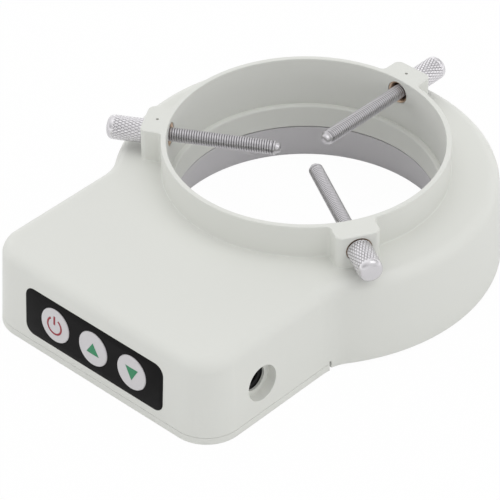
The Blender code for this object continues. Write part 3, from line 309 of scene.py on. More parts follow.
def grid_faces(rows, columns, closed_rows=False, closed_columns=True):
    """Quads (r, c), (r, c + 1), (r + 1, c + 1), (r + 1, c) over a grid of points kept row by row."""
    r = np.arange(rows if closed_rows else rows - 1)[:, None]
    c = np.arange(columns if closed_columns else columns - 1)[None, :]
    r2, c2 = (r + 1) % rows, (c + 1) % columns
    corners = [r * columns + c, r * columns + c2, r2 * columns + c2, r2 * columns + c]
    return np.stack([np.broadcast_to(k, (r.size, c.size)) for k in corners], -1).reshape(-1, 4)


def loft(loops):
    """A closed solid through loops of equally many points, the first and last of them its ends."""
    points = np.stack(loops)
    rows, columns = points.shape[:2]
    faces = grid_faces(rows, columns).tolist()
    faces.append(list(range(columns))[::-1])
    faces.append(list(range((rows - 1) * columns, rows * columns)))
    return points.reshape(-1, 3), faces


def prism(outline, low, high):
    """A closed solid with upright sides between two heights."""
    return loft([lift(outline, low), lift(outline, high)])


def turned(profile, steps, centre=(0, 0)):
    """A closed solid of (r cos a, r sin a, h). A profile that starts on the axis gets poles at both ends."""
    profile = np.asarray(profile, float)
    a = np.arange(steps) * FULL / steps
    poles = profile[0, 0] == 0
    body = profile[1:-1] if poles else profile
    r, h = body[:, :1], body[:, 1:]
    points = np.stack([centre[0] + r * np.cos(a), centre[1] + r * np.sin(a), h + 0 * a], -1).reshape(-1, 3)
    faces = grid_faces(len(body), steps, closed_rows=not poles).tolist()
    if poles:
        points = np.vstack([points, [[*centre, profile[0, 1]], [*centre, profile[-1, 1]]]])
        c = np.arange(steps)
        first, last = len(body) * steps, len(body) * steps + 1
        faces += np.stack([np.full(steps, first), (c + 1) % steps, c], 1).tolist()
        top = (len(body) - 1) * steps
        faces += np.stack([np.full(steps, last), top + c, top + (c + 1) % steps], 1).tolist()
    return points, faces


def rod(centre, steps, low, *parts):
    """A closed round rod in parts of (radius, end), each from where the one before it ends."""
    profile = [(0, low)]
    for radius, end in parts:
        profile += [(radius, low), (radius, end)]
        low = end
    return turned(profile + [(0, low)], steps, centre)


def cylinder(centre, radius, low, high, steps):
    """A rod of one part."""
    return rod(centre, steps, low, (radius, high))


def turned_wave(profile, steps, depth_at):
    """As turned, from a dense profile, with each radius less by depth_at(a, h), which comes back too."""
    profile = np.asarray(profile, float)
    a = np.arange(steps)[None, :] * FULL / steps
    body = profile[1:-1]
    r, h = body[:, :1], body[:, 1:]
    depth = depth_at(a, h)
    points = np.stack([(r - depth) * np.cos(a), (r - depth) * np.sin(a), h + 0 * a], -1).reshape(-1, 3)
    _, faces = turned(profile, steps)
    points = np.vstack([points, [[0, 0, profile[0, 1]], [0, 0, profile[-1, 1]]]])
    return points, faces, np.append(depth.ravel(), [0, 0])


def merge(*parts):
    """Several (points, faces) solids as one."""
    points, faces, start = [], [], 0
    for part_points, part_faces in parts:
        points.append(part_points)
        faces += [[index + start for index in face] for face in part_faces]
        start += len(part_points)
    return np.vstack(points), faces


def own_axes(origin, x, y, z):
    """A function that takes points from a piece's own axes to the lamp's."""
    return lambda points: np.asarray(points) @ np.array([x, y, z], float) + np.array(origin, float)


WORLD = own_axes((0, 0, 0), (1, 0, 0), (0, 1, 0), (0, 0, 1))
FRONT = own_axes((PANEL_X, PANEL_Z * SLANT - ARM_REACH, PANEL_Z), (1, 0, 0),
                 (0, sin(DRAFT), cos(DRAFT)), (0, -cos(DRAFT), sin(DRAFT)))
INLET = own_axes((0, *INLET_AT), (0, 0, -1), (0, 1, 0), (1, 0, 0))
SCREWS = {name: own_axes((0, 0, SCREW_HEIGHT), (0, 0, -1), (-sin(a), cos(a), 0),
                         (cos(a), sin(a), 0)) for name, a in SCREW_ANGLES.items()}


def plain_mesh(name, solid, axes=WORLD):
    """A mesh in metres from (points, faces) in millimetres."""
    mesh = bpy.data.meshes.new(name)
    mesh.from_pydata((axes(solid[0]) * MM).tolist(), [], solid[1])
    return mesh


def make_mesh(name, solid, axes=WORLD):
    """The mesh of a closed solid, with its faces outward."""
    mesh = plain_mesh(name, solid, axes)
    builder = bmesh.new()
    builder.from_mesh(mesh)
    bmesh.ops.recalc_face_normals(builder, faces=builder.faces)
    builder.to_mesh(mesh)
    builder.free()
    return mesh


def add_object(name, mesh, material=None):
    """Link a new object with this mesh to the scene."""
    made = bpy.data.objects.new(name, mesh)
    bpy.context.scene.collection.objects.link(made)
    if material:
        mesh.materials.append(material)
    return made


def shaped(name, solid, steps, axes=WORLD):
    """A mesh after exact unions and cuts: steps holds (operation, solid, axes) in their order."""
    base = add_object(name + "_base", make_mesh(name + "_base", solid, axes))
    guides = []
    for number, (operation, tool, tool_axes) in enumerate(steps):
        guide = add_object(f"{name}_guide_{number}", make_mesh("guide", tool, tool_axes))
        modifier = base.modifiers.new(f"step_{number}", "BOOLEAN")
        modifier.operation = operation
        modifier.solver = "EXACT"
        modifier.object = guide
        guides.append(guide)
    bpy.context.view_layer.update()
    mesh = bpy.data.meshes.new_from_object(base.evaluated_get(bpy.context.evaluated_depsgraph_get()))
    mesh.name = name
    for spare in [base] + guides:
        bpy.data.objects.remove(spare)
    return mesh


def as_solid(mesh):
    """The (points, faces) solid of a mesh, in millimetres again."""
    points = np.array([point.co for point in mesh.vertices]) / MM
    return points, [list(face.vertices) for face in mesh.polygons]


def cut(solid, axes=WORLD):
    """A step of shaped that takes a solid away."""
    return "DIFFERENCE", solid, axes


def join(solid, axes=WORLD):
    """A step of shaped that adds a solid."""
    return "UNION", solid, axes


def at_places(step, places, sizes, count=24, axes=WORLD):
    """Cuts or joins with a round rod of (radius, low, high) at each place."""
    return [step(cylinder(place, *sizes, count), axes) for place in places]


def show(name, mesh, slot, stands_for=(), body="lamp", finish=None, angle=30, weighted=False):
    """Link a piece with its slot, its finish, the nodes it stands for and the body it rides on."""
    mesh.shade_smooth()
    mesh.set_sharp_from_angle(angle=radians(angle))
    piece = add_object(name, mesh, FINISHES[finish or slot])
    if weighted:
        modifier = piece.modifiers.new("even_normals", "WEIGHTED_NORMAL")
        modifier.keep_sharp = True
        modifier.weight = 100
    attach(piece, body)
    if stands_for:
        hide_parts(*stands_for)
    return piece


def marked_mesh(name, solid, axes, painted_shade):
    """A mesh that keeps how far along its axis each point is, and how much painted shade it has."""
    mesh = make_mesh(name, solid, axes)
    for mark, values in (("along", solid[0][:, 2]), ("cut", painted_shade)):
        mesh.attributes.new(mark, "FLOAT", "POINT").data.foreach_set("value", np.asarray(values, np.float32))
    return mesh


# Shader node groups

def new_group(name, inputs, outputs, output_kind="Float"):
    """A group's tree, what it is given and its end. Inputs are (label, kind, value), outputs are labels."""
    tree = bpy.data.node_groups.new(name, "ShaderNodeTree")
    for label, kind, value in inputs:
        socket = tree.interface.new_socket(label, in_out="INPUT", socket_type="NodeSocket" + kind)
        socket.default_value = value
    for label in outputs:
        tree.interface.new_socket(label, in_out="OUTPUT", socket_type="NodeSocket" + output_kind)
    return tree, tree.nodes.new("NodeGroupInput").outputs, tree.nodes.new("NodeGroupOutput")


def fill(tree, node, links):
    """Link each named or numbered input to a socket, or set it to a value."""
    for key, value in links.items():
        if isinstance(value, bpy.types.NodeSocket):
            tree.links.new(value, node.inputs[key])
        else:
            node.inputs[key].default_value = value


def add_node(tree, kind, links, **settings):
    """The outputs of a new node with these inputs and settings."""
    node = tree.nodes.new("ShaderNode" + kind)
    for name, value in settings.items():
        setattr(node, name, value)
    fill(tree, node, links)
    return node.outputs


def use_group(tree, group, links):
    """The outputs of a group used in a tree."""
    return add_node(tree, "Group", links, node_tree=group)


def maths(tree, operation, first, second, clamp=False):
    """The result of one sum on two numbers or sockets."""
    return add_node(tree, "Math", {0: first, 1: second}, operation=operation, use_clamp=clamp)[0]


def blend_colour(tree, share, first, second):
    """From the first colour to the second as the share goes from 0 to 1."""
    return add_node(tree, "Mix", {0: share, 6: first, 7: second}, data_type="RGBA")[2]


def grain_group():
    """Moulded grain: fine pits as a height, a slow tone from 0 to 1, and small specks."""
    tree, given, out = new_group("moulded_grain", [("Size", "Float", 0.5)], ["Height", "Tone", "Speck"])
    place = add_node(tree, "TexCoord", {})["Object"]
    scale = maths(tree, "DIVIDE", 1000.0, given["Size"])
    fine = add_node(tree, "TexNoise", {"Vector": place, "Scale": scale, "Detail": 3.0, "Roughness": 0.6})
    pits = add_node(tree, "TexVoronoi", {"Vector": place, "Scale": maths(tree, "MULTIPLY", scale, 0.7)})
    wide = add_node(tree, "TexNoise", {"Vector": place, "Scale": 55.0, "Detail": 4.0, "Roughness": 0.55})
    height = maths(tree, "ADD", fine["Fac"], maths(tree, "MULTIPLY", pits["Distance"], 0.5))
    speck = add_node(tree, "TexNoise", {"Vector": place, "Scale": 420.0, "Detail": 2.0, "Roughness": 0.5})
    dots = add_node(tree, "MapRange", {"Value": speck["Fac"], "From Min": 0.62, "From Max": 0.8})
    fill(tree, out, {"Height": height, "Tone": wide["Fac"], "Speck": dots["Result"]})
    return tree


def tint_group():
    """A colour that drifts a little lighter and darker with a tone, with faint specks."""
    tree, given, out = new_group("tint", [("Colour", "Color", (0.5, 0.5, 0.5, 1)), ("Tone", "Float", 0.5),
                                          ("Speck", "Float", 0.0), ("Drift", "Float", 0.04)],
                                 ["Colour"], "Color")
    amount = given["Drift"]
    drift = maths(tree, "MULTIPLY", maths(tree, "SUBTRACT", given["Tone"], 0.5), amount)
    dark = maths(tree, "MULTIPLY", given["Speck"], maths(tree, "MULTIPLY", amount, 0.5))
    value = maths(tree, "ADD", 1.0, maths(tree, "SUBTRACT", drift, dark))
    made = add_node(tree, "HueSaturation", {"Color": given["Colour"], "Value": value})
    fill(tree, out, {"Colour": made["Color"]})
    return tree


def roughness_group():
    """A roughness that varies with a tone: base + (tone - 0.5) * spread."""
    tree, given, out = new_group("roughness_drift", [("Base", "Float", 0.5), ("Tone", "Float", 0.5),
                                                     ("Spread", "Float", 0.1)], ["Roughness"])
    lean = maths(tree, "SUBTRACT", given["Tone"], 0.5)
    shift = maths(tree, "MULTIPLY", lean, given["Spread"])
    fill(tree, out, {"Roughness": maths(tree, "ADD", given["Base"], shift, True)})
    return tree


def lathe_group():
    """Fine turning marks along a piece's stored distance, and its stored painted shade."""
    tree, given, out = new_group("lathe_marks", [("Pitch", "Float", 0.12)], ["Height", "Painted shade"])
    along = add_node(tree, "Attribute", {}, attribute_name="along")["Fac"]
    painted_shade = add_node(tree, "Attribute", {}, attribute_name="cut")["Fac"]
    place = maths(tree, "DIVIDE", along, given["Pitch"])
    lines = add_node(tree, "TexNoise", {"W": place, "Scale": 1.0, "Detail": 2.0}, noise_dimensions="1D")
    fill(tree, out, {"Height": lines["Fac"], "Painted shade": painted_shade})
    return tree


def stripe_group():
    """Straight stripes from 0 to 1, for windings, flat cable and a can's sleeve."""
    inputs = [("Scale", "Float", 300.0), ("Turn", "Vector", (0, 0, 0))]
    tree, given, out = new_group("stripes", inputs, ["Mask"])
    place = add_node(tree, "TexCoord", {})["Object"]
    turn = add_node(tree, "Mapping", {"Vector": place, "Rotation": given["Turn"]})
    wave = add_node(tree, "TexWave", {"Vector": turn["Vector"], "Scale": given["Scale"],
                                      "Distortion": 0.4, "Detail": 1.0})
    fill(tree, out, {"Mask": wave["Fac"]})
    return tree


def track_group():
    """Copper tracks on a board: thin edges between square cells, where two of them are as near."""
    tree, given, out = new_group("board_tracks", [("Scale", "Float", 160.0)], ["Mask"])
    place = add_node(tree, "TexCoord", {})["Object"]
    near, next_near = [
        add_node(tree, "TexVoronoi", {"Vector": place, "Scale": given["Scale"], "Randomness": 0.7},
                 feature=feature, distance="CHEBYCHEV")["Distance"] for feature in ("F1", "F2")]
    gap = maths(tree, "SUBTRACT", next_near, near)
    mask = add_node(tree, "MapRange", {"Value": gap, "From Min": 0.02, "From Max": 0.06,
                                       "To Min": 1.0, "To Max": 0.0})
    fill(tree, out, {"Mask": mask["Result"]})
    return tree


GRAIN, TINT, DRIFT = grain_group(), tint_group(), roughness_group()
LATHE, STRIPES, TRACKS = lathe_group(), stripe_group(), track_group()


def linear(colour):
    """Display values from 0 to 255 as linear light, with full opacity."""
    share = np.asarray(colour, float) / 255
    light = np.where(share <= 0.04045, share / 12.92, ((share + 0.055) / 1.055) ** 2.4)
    return (*light.tolist(), 1.0)


def finish_of(name, colour, roughness, grain=0.4, bump=0.02, drift=0.05, metallic=0.0, coat=0.0, shine=0.5,
              second=None, pattern=None, pattern_links=None, lathe=0.0, painted_shade=None, emission=0.0):
    """A finish with grain, a drifting tint, an uneven roughness and what else it is asked for.

    Grain and bump are in millimetres. The second colour goes where the pattern's mask says, and the
    colour of painted shade where a piece's stored painted shade says.
    """
    material = bpy.data.materials.new(name)
    material.use_nodes = True
    tree = material.node_tree
    shader = tree.nodes["Principled BSDF"]
    surface = use_group(tree, GRAIN, {"Size": grain})
    tint = use_group(tree, TINT, {"Colour": linear(colour), "Tone": surface["Tone"],
                                  "Speck": surface["Speck"], "Drift": drift})
    made = tint["Colour"]
    height = surface["Height"]
    rough = use_group(tree, DRIFT, {"Base": roughness, "Tone": surface["Tone"], "Spread": 0.08})["Roughness"]
    if pattern:
        mask = use_group(tree, pattern, pattern_links or {})["Mask"]
        made = blend_colour(tree, mask, made, linear(second))
        height = maths(tree, "ADD", height, mask)
    # Painted shade: the stored amount blends the colour towards the painted shade colour and adds roughness
    if lathe:
        marks = use_group(tree, LATHE, {})
        made = blend_colour(tree, marks["Painted shade"], made, linear(painted_shade))
        rough = maths(tree, "ADD", rough, maths(tree, "MULTIPLY", marks["Painted shade"], 0.3), True)
        height = maths(tree, "ADD", height, maths(tree, "MULTIPLY", marks["Height"], lathe))
    relief = add_node(tree, "Bump", {"Strength": 1.0, "Distance": bump * MM, "Height": height})
    fill(tree, shader, {"Base Color": made, "Roughness": rough, "Metallic": metallic, "Coat Weight": coat,
                        "Specular IOR Level": shine, "Normal": relief["Normal"]})
    if emission:
        fill(tree, shader, {"Emission Color": made, "Emission Strength": emission})
    return material


FINISHES = {
    "housing": finish_of("off_white_plastic", (221, 222, 217), 0.5, grain=0.3, bump=0.008, drift=0.012),
    "overlay": finish_of("black_overlay", (15, 14, 15), 0.5, grain=0.25, bump=0.008, drift=0.3, shine=0.09),
    "button": finish_of("pale_button", (208, 206, 208), 0.35, grain=0.3, bump=0.004, drift=0.02, coat=0.15),
    "red_ink": finish_of("red_ink", (152, 34, 48), 0.45, grain=0.2, bump=0.004, drift=0.1),
    "green_ink": finish_of("green_ink", (34, 132, 88), 0.45, grain=0.2, bump=0.004, drift=0.1),
    "black_plastic": finish_of("black_plastic", (22, 22, 23), 0.5, drift=0.2, shine=0.25),
    "switch_plastic": finish_of("switch_plastic", (60, 60, 64), 0.5, drift=0.2),
    "board": finish_of("green_board", (35, 92, 60), 0.4, bump=0.03, drift=0.15, coat=0.3,
        second=(120, 116, 60), pattern=TRACKS),
    "connector": finish_of("white_nylon", (226, 222, 208), 0.5),
    "ribbon": finish_of("grey_ribbon", (150, 150, 155), 0.5, bump=0.05, drift=0.06,
        second=(112, 112, 118), pattern=STRIPES, pattern_links={"Scale": 310.0}),
    "coil": finish_of("copper_coil", (70, 60, 55), 0.5, bump=0.06, drift=0.1, second=(148, 84, 48),
        pattern=STRIPES, pattern_links={"Scale": 420.0, "Turn": (0, QUARTER, 0)}),
    "capacitor": finish_of("capacitor_can", (60, 66, 90), 0.35, bump=0.01, drift=0.1, metallic=0.3,
        second=(168, 170, 178), pattern=STRIPES, pattern_links={"Scale": 38.0}),
    "nickel": finish_of("nickel_pin", (190, 186, 175), 0.22, bump=0.004, drift=0.08, metallic=1.0,
        lathe=0.4, painted_shade=(60, 58, 54)),
    "grey_plastic": finish_of("grey_plastic", (207, 205, 208), 0.5, grain=0.3, bump=0.01, drift=0.03),
    "led": finish_of("led_resin", (240, 232, 170), 0.25, bump=0.01, drift=0.12, coat=0.4, emission=0.15),
    "diffuser": finish_of("frosted_plastic", (236, 238, 240), 0.6, grain=0.5, bump=0.03, drift=0.02),
    "zinc_screw": finish_of("zinc_screw", (170, 172, 176), 0.32, bump=0.006, drift=0.1, metallic=1.0,
        lathe=0.4, painted_shade=(58, 56, 54)),
    "red_insulation": finish_of("red_insulation", (180, 40, 38), 0.45, bump=0.01, drift=0.1),
    "black_insulation": finish_of("black_insulation", (30, 30, 32), 0.45, bump=0.01, drift=0.2),
    # Brass and steel: the dark colour is that of painted shade, in the insert's hole, the threads' roots and
    # the knurl's grooves
    "brass": finish_of("brass_insert", (200, 176, 155), 0.35, bump=0.008, drift=0.1, metallic=1.0,
        lathe=0.4, painted_shade=(60, 40, 30)),
    "steel": finish_of("nickel_steel", (230, 228, 231), 0.2, grain=0.15, bump=0.004, drift=0.06,
        metallic=1.0, lathe=0.5, painted_shade=(74, 71, 76)),
}


# Housing and arm cover

def panel_outline(grow):
    """The panel's rectangle with round corners, moved outward by grow."""
    x, y, corner = PANEL_WIDTH / 2 + grow, PANEL_HEIGHT / 2 + grow, PANEL_CORNER + grow
    return rounded([(x, -y, corner), (x, y, corner), (-x, y, corner), (-x, -y, corner)], True, 12)


def blend_centre():
    """Where the hollow blend between arm and ring has its centre, on the +X side."""
    across = ARM_HALF + ARM_BLEND
    return across, -sqrt((RING_RADIUS + ARM_BLEND) ** 2 - across ** 2)


def plan_outline(inset):
    """The lamp's outline from above, moved inward: arm end, corners, sides, blends and ring."""
    corner_at = (ARM_HALF - ARM_CORNER, ARM_CORNER - ARM_REACH)
    across, along = blend_centre()
    meeting = atan2(along, across)
    right = np.concatenate([
        arc(corner_at, ARM_CORNER - inset, -QUARTER, 0, 24),
        [[ARM_HALF - inset, (corner_at[1] + along) / 2]],
        arc((across, along), ARM_BLEND + inset, pi, meeting + pi, 20),
        arc((0, 0), RING_RADIUS - inset, meeting, QUARTER, 84)[1:],
    ])
    return np.concatenate([right, right[-2::-1] * (-1, 1)])


def outline_at(height, extra=0.0):
    """The outline at a height, moved inward by slant * height + extra."""
    return lift(plan_outline(SLANT * height + extra), height)


def inner_wall(height):
    """The inner radius of the ring's outer wall at a height."""
    return RING_RADIUS - SLANT * height - WALL


def outer_shell():
    """The drafted wall, the top's fillet as a quarter circle, and a flat top."""
    shoulder = HOUSING_TOP - TOP_FILLET
    inward = SLANT * shoulder
    loops = [outline_at(RING_BASE), outline_at(SEAM_HEIGHT), outline_at(shoulder)]
    for turn in np.linspace(0, QUARTER, 12)[1:]:
        inset = inward + TOP_FILLET * (1 - cos(turn))
        loops.append(lift(plan_outline(inset), shoulder + TOP_FILLET * sin(turn)))
    loops.append(lift(plan_outline(inward + TOP_FILLET + TOP_RIM), HOUSING_TOP))
    return loft(loops)


def collar_outline(grow):
    """The collar's circle with three bosses, moved outward: round corners grow, hollow ones shrink."""
    blend_across = BOSS_HALF + BOSS_BLEND
    blend_out = sqrt((COLLAR_RADIUS + BOSS_BLEND) ** 2 - blend_across ** 2)
    root = atan2(blend_across, blend_out)
    right = np.concatenate([
        arc((blend_out, -blend_across), BOSS_BLEND - grow, pi - root, QUARTER, 8),
        arc((BOSS_FACE - BOSS_CORNER, BOSS_CORNER - BOSS_HALF), BOSS_CORNER + grow, -QUARTER, 0, 12),
    ])
    boss = np.concatenate([right, right[::-1] * (1, -1)])
    gap = FULL / 3 - 2 * root
    points = []
    for angle in sorted(SCREW_ANGLES.values()):
        c, s = cos(angle), sin(angle)
        points.append(boss @ np.array([[c, s], [-s, c]]))
        points.append(arc((0, 0), COLLAR_RADIUS + grow, angle + root, angle + root + gap, 64)[1:-1])
    return np.concatenate(points)


def collar_solid():
    """A wall with a hollow fillet at its root and a rounded top edge, both quarter circles."""
    base = HOUSING_TOP - HAIR
    t = np.linspace(0, QUARTER, 6)
    levels = [(COLLAR_ROOT, HOUSING_TOP - WALL / 2)]
    levels += list(zip(COLLAR_ROOT * (1 - np.sin(t)), base + COLLAR_ROOT * (1 - np.cos(t))))
    levels += list(zip(EDGE * (np.cos(t) - 1), COLLAR_TOP + EDGE * (np.sin(t) - 1)))
    return loft([lift(collar_outline(grow), height) for grow, height in levels])


def screw_places(stem, count):
    """Where the CAD screws of one kind stand, from their boxes."""
    corners = [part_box(f"{stem}_{number}") for number in range(1, count + 1)]
    return [((low[0] + high[0]) / 2 / MM, (low[1] + high[1]) / 2 / MM) for low, high in corners]


COVER_SCREWS = screw_places("cover_screw", 4)
CARRIER_SCREWS = screw_places("carrier_screw", 3)
BOARD_SCREWS = screw_places("board_screw", 2)


def arm_hollow():
    """The drafted hollow with a bevelled ceiling, less the ring's core and the wall towards the arm."""
    bevel = TOP_FILLET / 2
    ceiling = HOUSING_TOP - WALL
    hollow = loft([outline_at(-OVERRUN, WALL), outline_at(ceiling - bevel, WALL),
                   outline_at(ceiling, WALL + bevel)])
    across, along = blend_centre()
    meeting = atan2(along, across)
    start, end = pi - meeting, meeting + FULL
    wall = np.concatenate([arc((0, 0), RING_RADIUS, start, end, 80),
                           arc((0, 0), inner_wall(RING_BASE), end, start, 80)])
    core = cylinder((0, 0), CORE_RADIUS, -2 * OVERRUN, HOUSING_TOP, 240)
    steps = [cut(core), cut(prism(wall, -2 * OVERRUN, PARTITION_TOP))]
    return as_solid(shaped("hollow", hollow, steps))


def bore_cutter():
    """The bore, turned: the ring's seat, the throat, a rounded ledge and the collar's rounded rim."""
    seat = CARRIER_TOP + CLEARANCE
    low = [(0, -OVERRUN), (CORE_RADIUS + CLEARANCE, -OVERRUN), (CORE_RADIUS + CLEARANCE, seat),
           (THROAT_RADIUS, seat)]
    ledge = quarter_round(THROAT_RADIUS, LEDGE_HEIGHT, LEDGE_EDGE)
    rim = quarter_round(BORE_RADIUS, COLLAR_TOP, EDGE)
    top = COLLAR_TOP + OVERRUN
    high = [(BORE_RADIUS + EDGE, top), (0, top)]
    return turned(np.concatenate([low, ledge, [(BORE_RADIUS, LEDGE_HEIGHT)], rim, high]), 288)


def seam_cutter():
    """The arm's lowest layer outside the ring, where the cover lies."""
    side = ARM_HALF + OVERRUN
    layer = prism(rectangle(-side, side, -ARM_REACH - OVERRUN, -COVER_END), -OVERRUN, SEAM_HEIGHT)
    ring = cylinder((0, 0), RING_RADIUS + CLEARANCE, -2 * OVERRUN, SEAM_HEIGHT + OVERRUN, 288)
    return as_solid(shaped("seam", layer, [cut(ring)]))


def make_housing():
    """The shell less its hollow, with collar, posts and cup, then the bore and every hole."""
    slit = rectangle(SLIT_START, ARM_HALF + OVERRUN, -COVER_END - SLIT_GAP, -COVER_END + HAIR)
    steps = [cut(arm_hollow()), join(collar_solid())]
    steps += at_places(join, COVER_SCREWS, COVER_POST)
    steps += at_places(join, CARRIER_SCREWS, CARRIER_POST)
    steps += at_places(join, [(0, 0)], INLET_CUP, 64, INLET)
    steps += [cut(bore_cutter()), cut(seam_cutter())]
    steps += [cut(prism(slit * (side, 1), -1, SLIT_HEIGHT)) for side in (1, -1)]
    steps += at_places(cut, COVER_SCREWS, COVER_PILOT)
    steps += at_places(cut, CARRIER_SCREWS, CARRIER_PILOT)
    steps += [cut(prism(panel_outline(PANEL_GAP), PANEL_SEAT, OVERRUN), FRONT)]
    steps += at_places(cut, BUTTON_PLACES, BUTTON_HOLE, 64, FRONT)
    inlet = rod((0, 0), 96, INLET_START, (INLET_RADIUS, RECESS_BOTTOM), (RECESS_RADIUS, ARM_HALF + OVERRUN))
    boss = rod((0, 0), 72, BORE_RADIUS - 2 * OVERRUN, (INSERT_HOLE, BOSS_FACE - FLANGE_DEPTH),
               (FLANGE_HOLE, BOSS_FACE + OVERRUN))
    steps += [cut(inlet, INLET)] + [cut(boss, axes) for axes in SCREWS.values()]
    steps += at_places(cut, [polar(DIMPLE_REACH, SCREW_ANGLES[name]) for name in DIMPLED], DIMPLE)
    mesh = shaped("housing", outer_shell(), steps)
    show("housing", mesh, "housing", ["upper_housing"], weighted=True)


def make_cover():
    """The arm cover with a rounded lower edge, its bosses and its counterbored screw seats."""
    loops = []
    for turn in np.linspace(0, QUARTER, 5):
        inset = (1 + SLANT) * COVER_EDGE * (1 - sin(turn))
        loops.append(lift(plan_outline(inset), COVER_EDGE * (1 - cos(turn))))
    loops.append(outline_at(SEAM_HEIGHT - SEAM_GAP))
    ring = cylinder((0, 0), RING_RADIUS + 2 * CLEARANCE, -OVERRUN, 2 * OVERRUN, 288)
    beyond = rectangle(-BEYOND, BEYOND, -COVER_END - SLIT_GAP, BEYOND)
    steps = [cut(ring), cut(prism(beyond, -OVERRUN, 3 * OVERRUN))]
    steps += at_places(join, COVER_SCREWS, COVER_BOSS, 36)
    pads = BOARD_SCREWS + [(x, BACK_PAD_Y) for x, _ in BOARD_SCREWS]
    steps += at_places(join, pads, BOARD_PAD, 30)
    steps += [cut(rod(place, 48, *COVER_SEAT)) for place in COVER_SCREWS]
    steps += at_places(cut, BOARD_SCREWS, BOARD_PILOT)
    mesh = shaped("cover", loft(loops), steps)
    show("cover", mesh, "housing", ["arm_cover"], weighted=True)


make_housing()
make_cover()


# Button panel

def make_panel():
    """The printed film with a softened edge and three round holes."""
    loops = [lift(panel_outline(-inset), height) for height, inset in OVERLAY_LEVELS]
    holes = at_places(cut, BUTTON_PLACES, OVERLAY_HOLE, 96, FRONT)
    mesh = shaped("overlay", loft(loops), holes, FRONT)
    show("overlay", mesh, "overlay", ["panel_overlay"])


def button_height(r):
    """A dome that falls with the square of the distance from the button's middle."""
    return DOME_TOP - DOME_FALL * (r / BUTTON_RADIUS) ** 2


def make_button(name):
    """A stem, a flange, a straight side and a dome, turned round the button's axis."""
    r = np.linspace(DOME_START, 0, 12)
    profile = np.concatenate([rounded(BUTTON_SIDE, steps=8), np.column_stack([r, button_height(r)])])
    mesh = make_mesh(f"{name}_cap", turned(profile, 96, (BUTTONS[name], 0)), FRONT)
    show(f"{name}_cap", mesh, "button", [f"{name}_button"], f"{name}_key")


def make_mark(name, shift, outlines, finish):
    """Flat ink: each outline's grid of (row, point) lies on the dome and is thickened afterwards."""
    parts = []
    for grid in outlines:
        height = button_height(np.hypot(grid[..., 0], grid[..., 1])) + INK_THICKNESS
        points = np.stack([grid[..., 0] + BUTTONS[name] + shift, grid[..., 1], height], -1).reshape(-1, 3)
        parts.append((points, grid_faces(*grid.shape[:2], closed_columns=False).tolist()))
    mesh = plain_mesh(f"{name}_mark", merge(*parts), FRONT)
    mark = show(f"{name}_mark", mesh, "button", body=f"{name}_key", finish=finish)
    solid = mark.modifiers.new("ink", "SOLIDIFY")
    solid.thickness = INK_THICKNESS * MM
    solid.offset = 0


def ring_patch(radius, width, start, end):
    """A band round zero: rows across its width, points along its arc."""
    rings = [radius - width / 2, radius, radius + width / 2]
    return np.stack([arc((0, 0), ring, start, end, 4 * MARK_STEPS) for ring in rings])


def bar_patch(low, high, width):
    """An upright bar: rows across its width, points along its height."""
    y = np.linspace(low, high, MARK_STEPS)
    return np.stack([np.column_stack([np.full(MARK_STEPS, x), y]) for x in (width / 2, 0, -width / 2)])


def triangle_patch(tip, base_left, base_right):
    """Rows from the tip to the base, each going from the left side to the right side."""
    tip, left, right = (np.array(point, float) for point in (tip, base_left, base_right))
    u = np.linspace(0.02, 1, MARK_STEPS)[:, None, None]
    v = np.linspace(0, 1, MARK_STEPS)[None, :, None]
    return tip + u * (left - tip + v * (right - left))


make_panel()
for name in BUTTONS:
    make_button(name)
make_mark("power", 0.0, [ring_patch(*POWER_RING), bar_patch(*POWER_BAR)], "red_ink")
make_mark("brighter", 0.2, [triangle_patch(*UP_TRIANGLE)], "green_ink")
make_mark("dimmer", 0.3, [triangle_patch(*DOWN_TRIANGLE)], "green_ink")


# Power inlet

def make_inlet():
    """The socket's body with its bore and lead-in, and the contact pin with a round point."""
    face, floor, mouth = SOCKET_FACE, SOCKET_FACE - SOCKET_DEPTH, SOCKET_FACE + OVERRUN
    bore = turned([(0, floor), (SOCKET_RADIUS, floor), (SOCKET_RADIUS, face - LEAD_IN_DEPTH),
                   (LEAD_IN_RADIUS, face), (LEAD_IN_RADIUS, mouth), (0, mouth)], 72)
    body = prism(rectangle(*SOCKET_SIDES), face - SOCKET_LENGTH, face)
    mesh = shaped("socket", body, [cut(bore, INLET)], INLET)
    show("socket", mesh, "black_plastic", ["inlet_jack"])
    foot, end = floor + CLEARANCE, face - PIN_SINK
    pin = turned(rounded([(0, foot, 0), (PIN_RADIUS, foot, 0), (PIN_RADIUS, end, PIN_POINT), (0, end, 0)],
                         steps=8), 36)
    mesh = marked_mesh("contact_pin", pin, INLET, np.zeros(len(pin[0])))
    show("contact_pin", mesh, "nickel", ["inlet_pin"])


make_inlet()


# LED ring and diffuser

def flare(height):
    """The ring's inner radius, which grows evenly from its top down to its base."""
    return THROAT_RADIUS + CARRIER_FLARE * (CARRIER_TOP - height) / (CARRIER_TOP - RING_BASE)


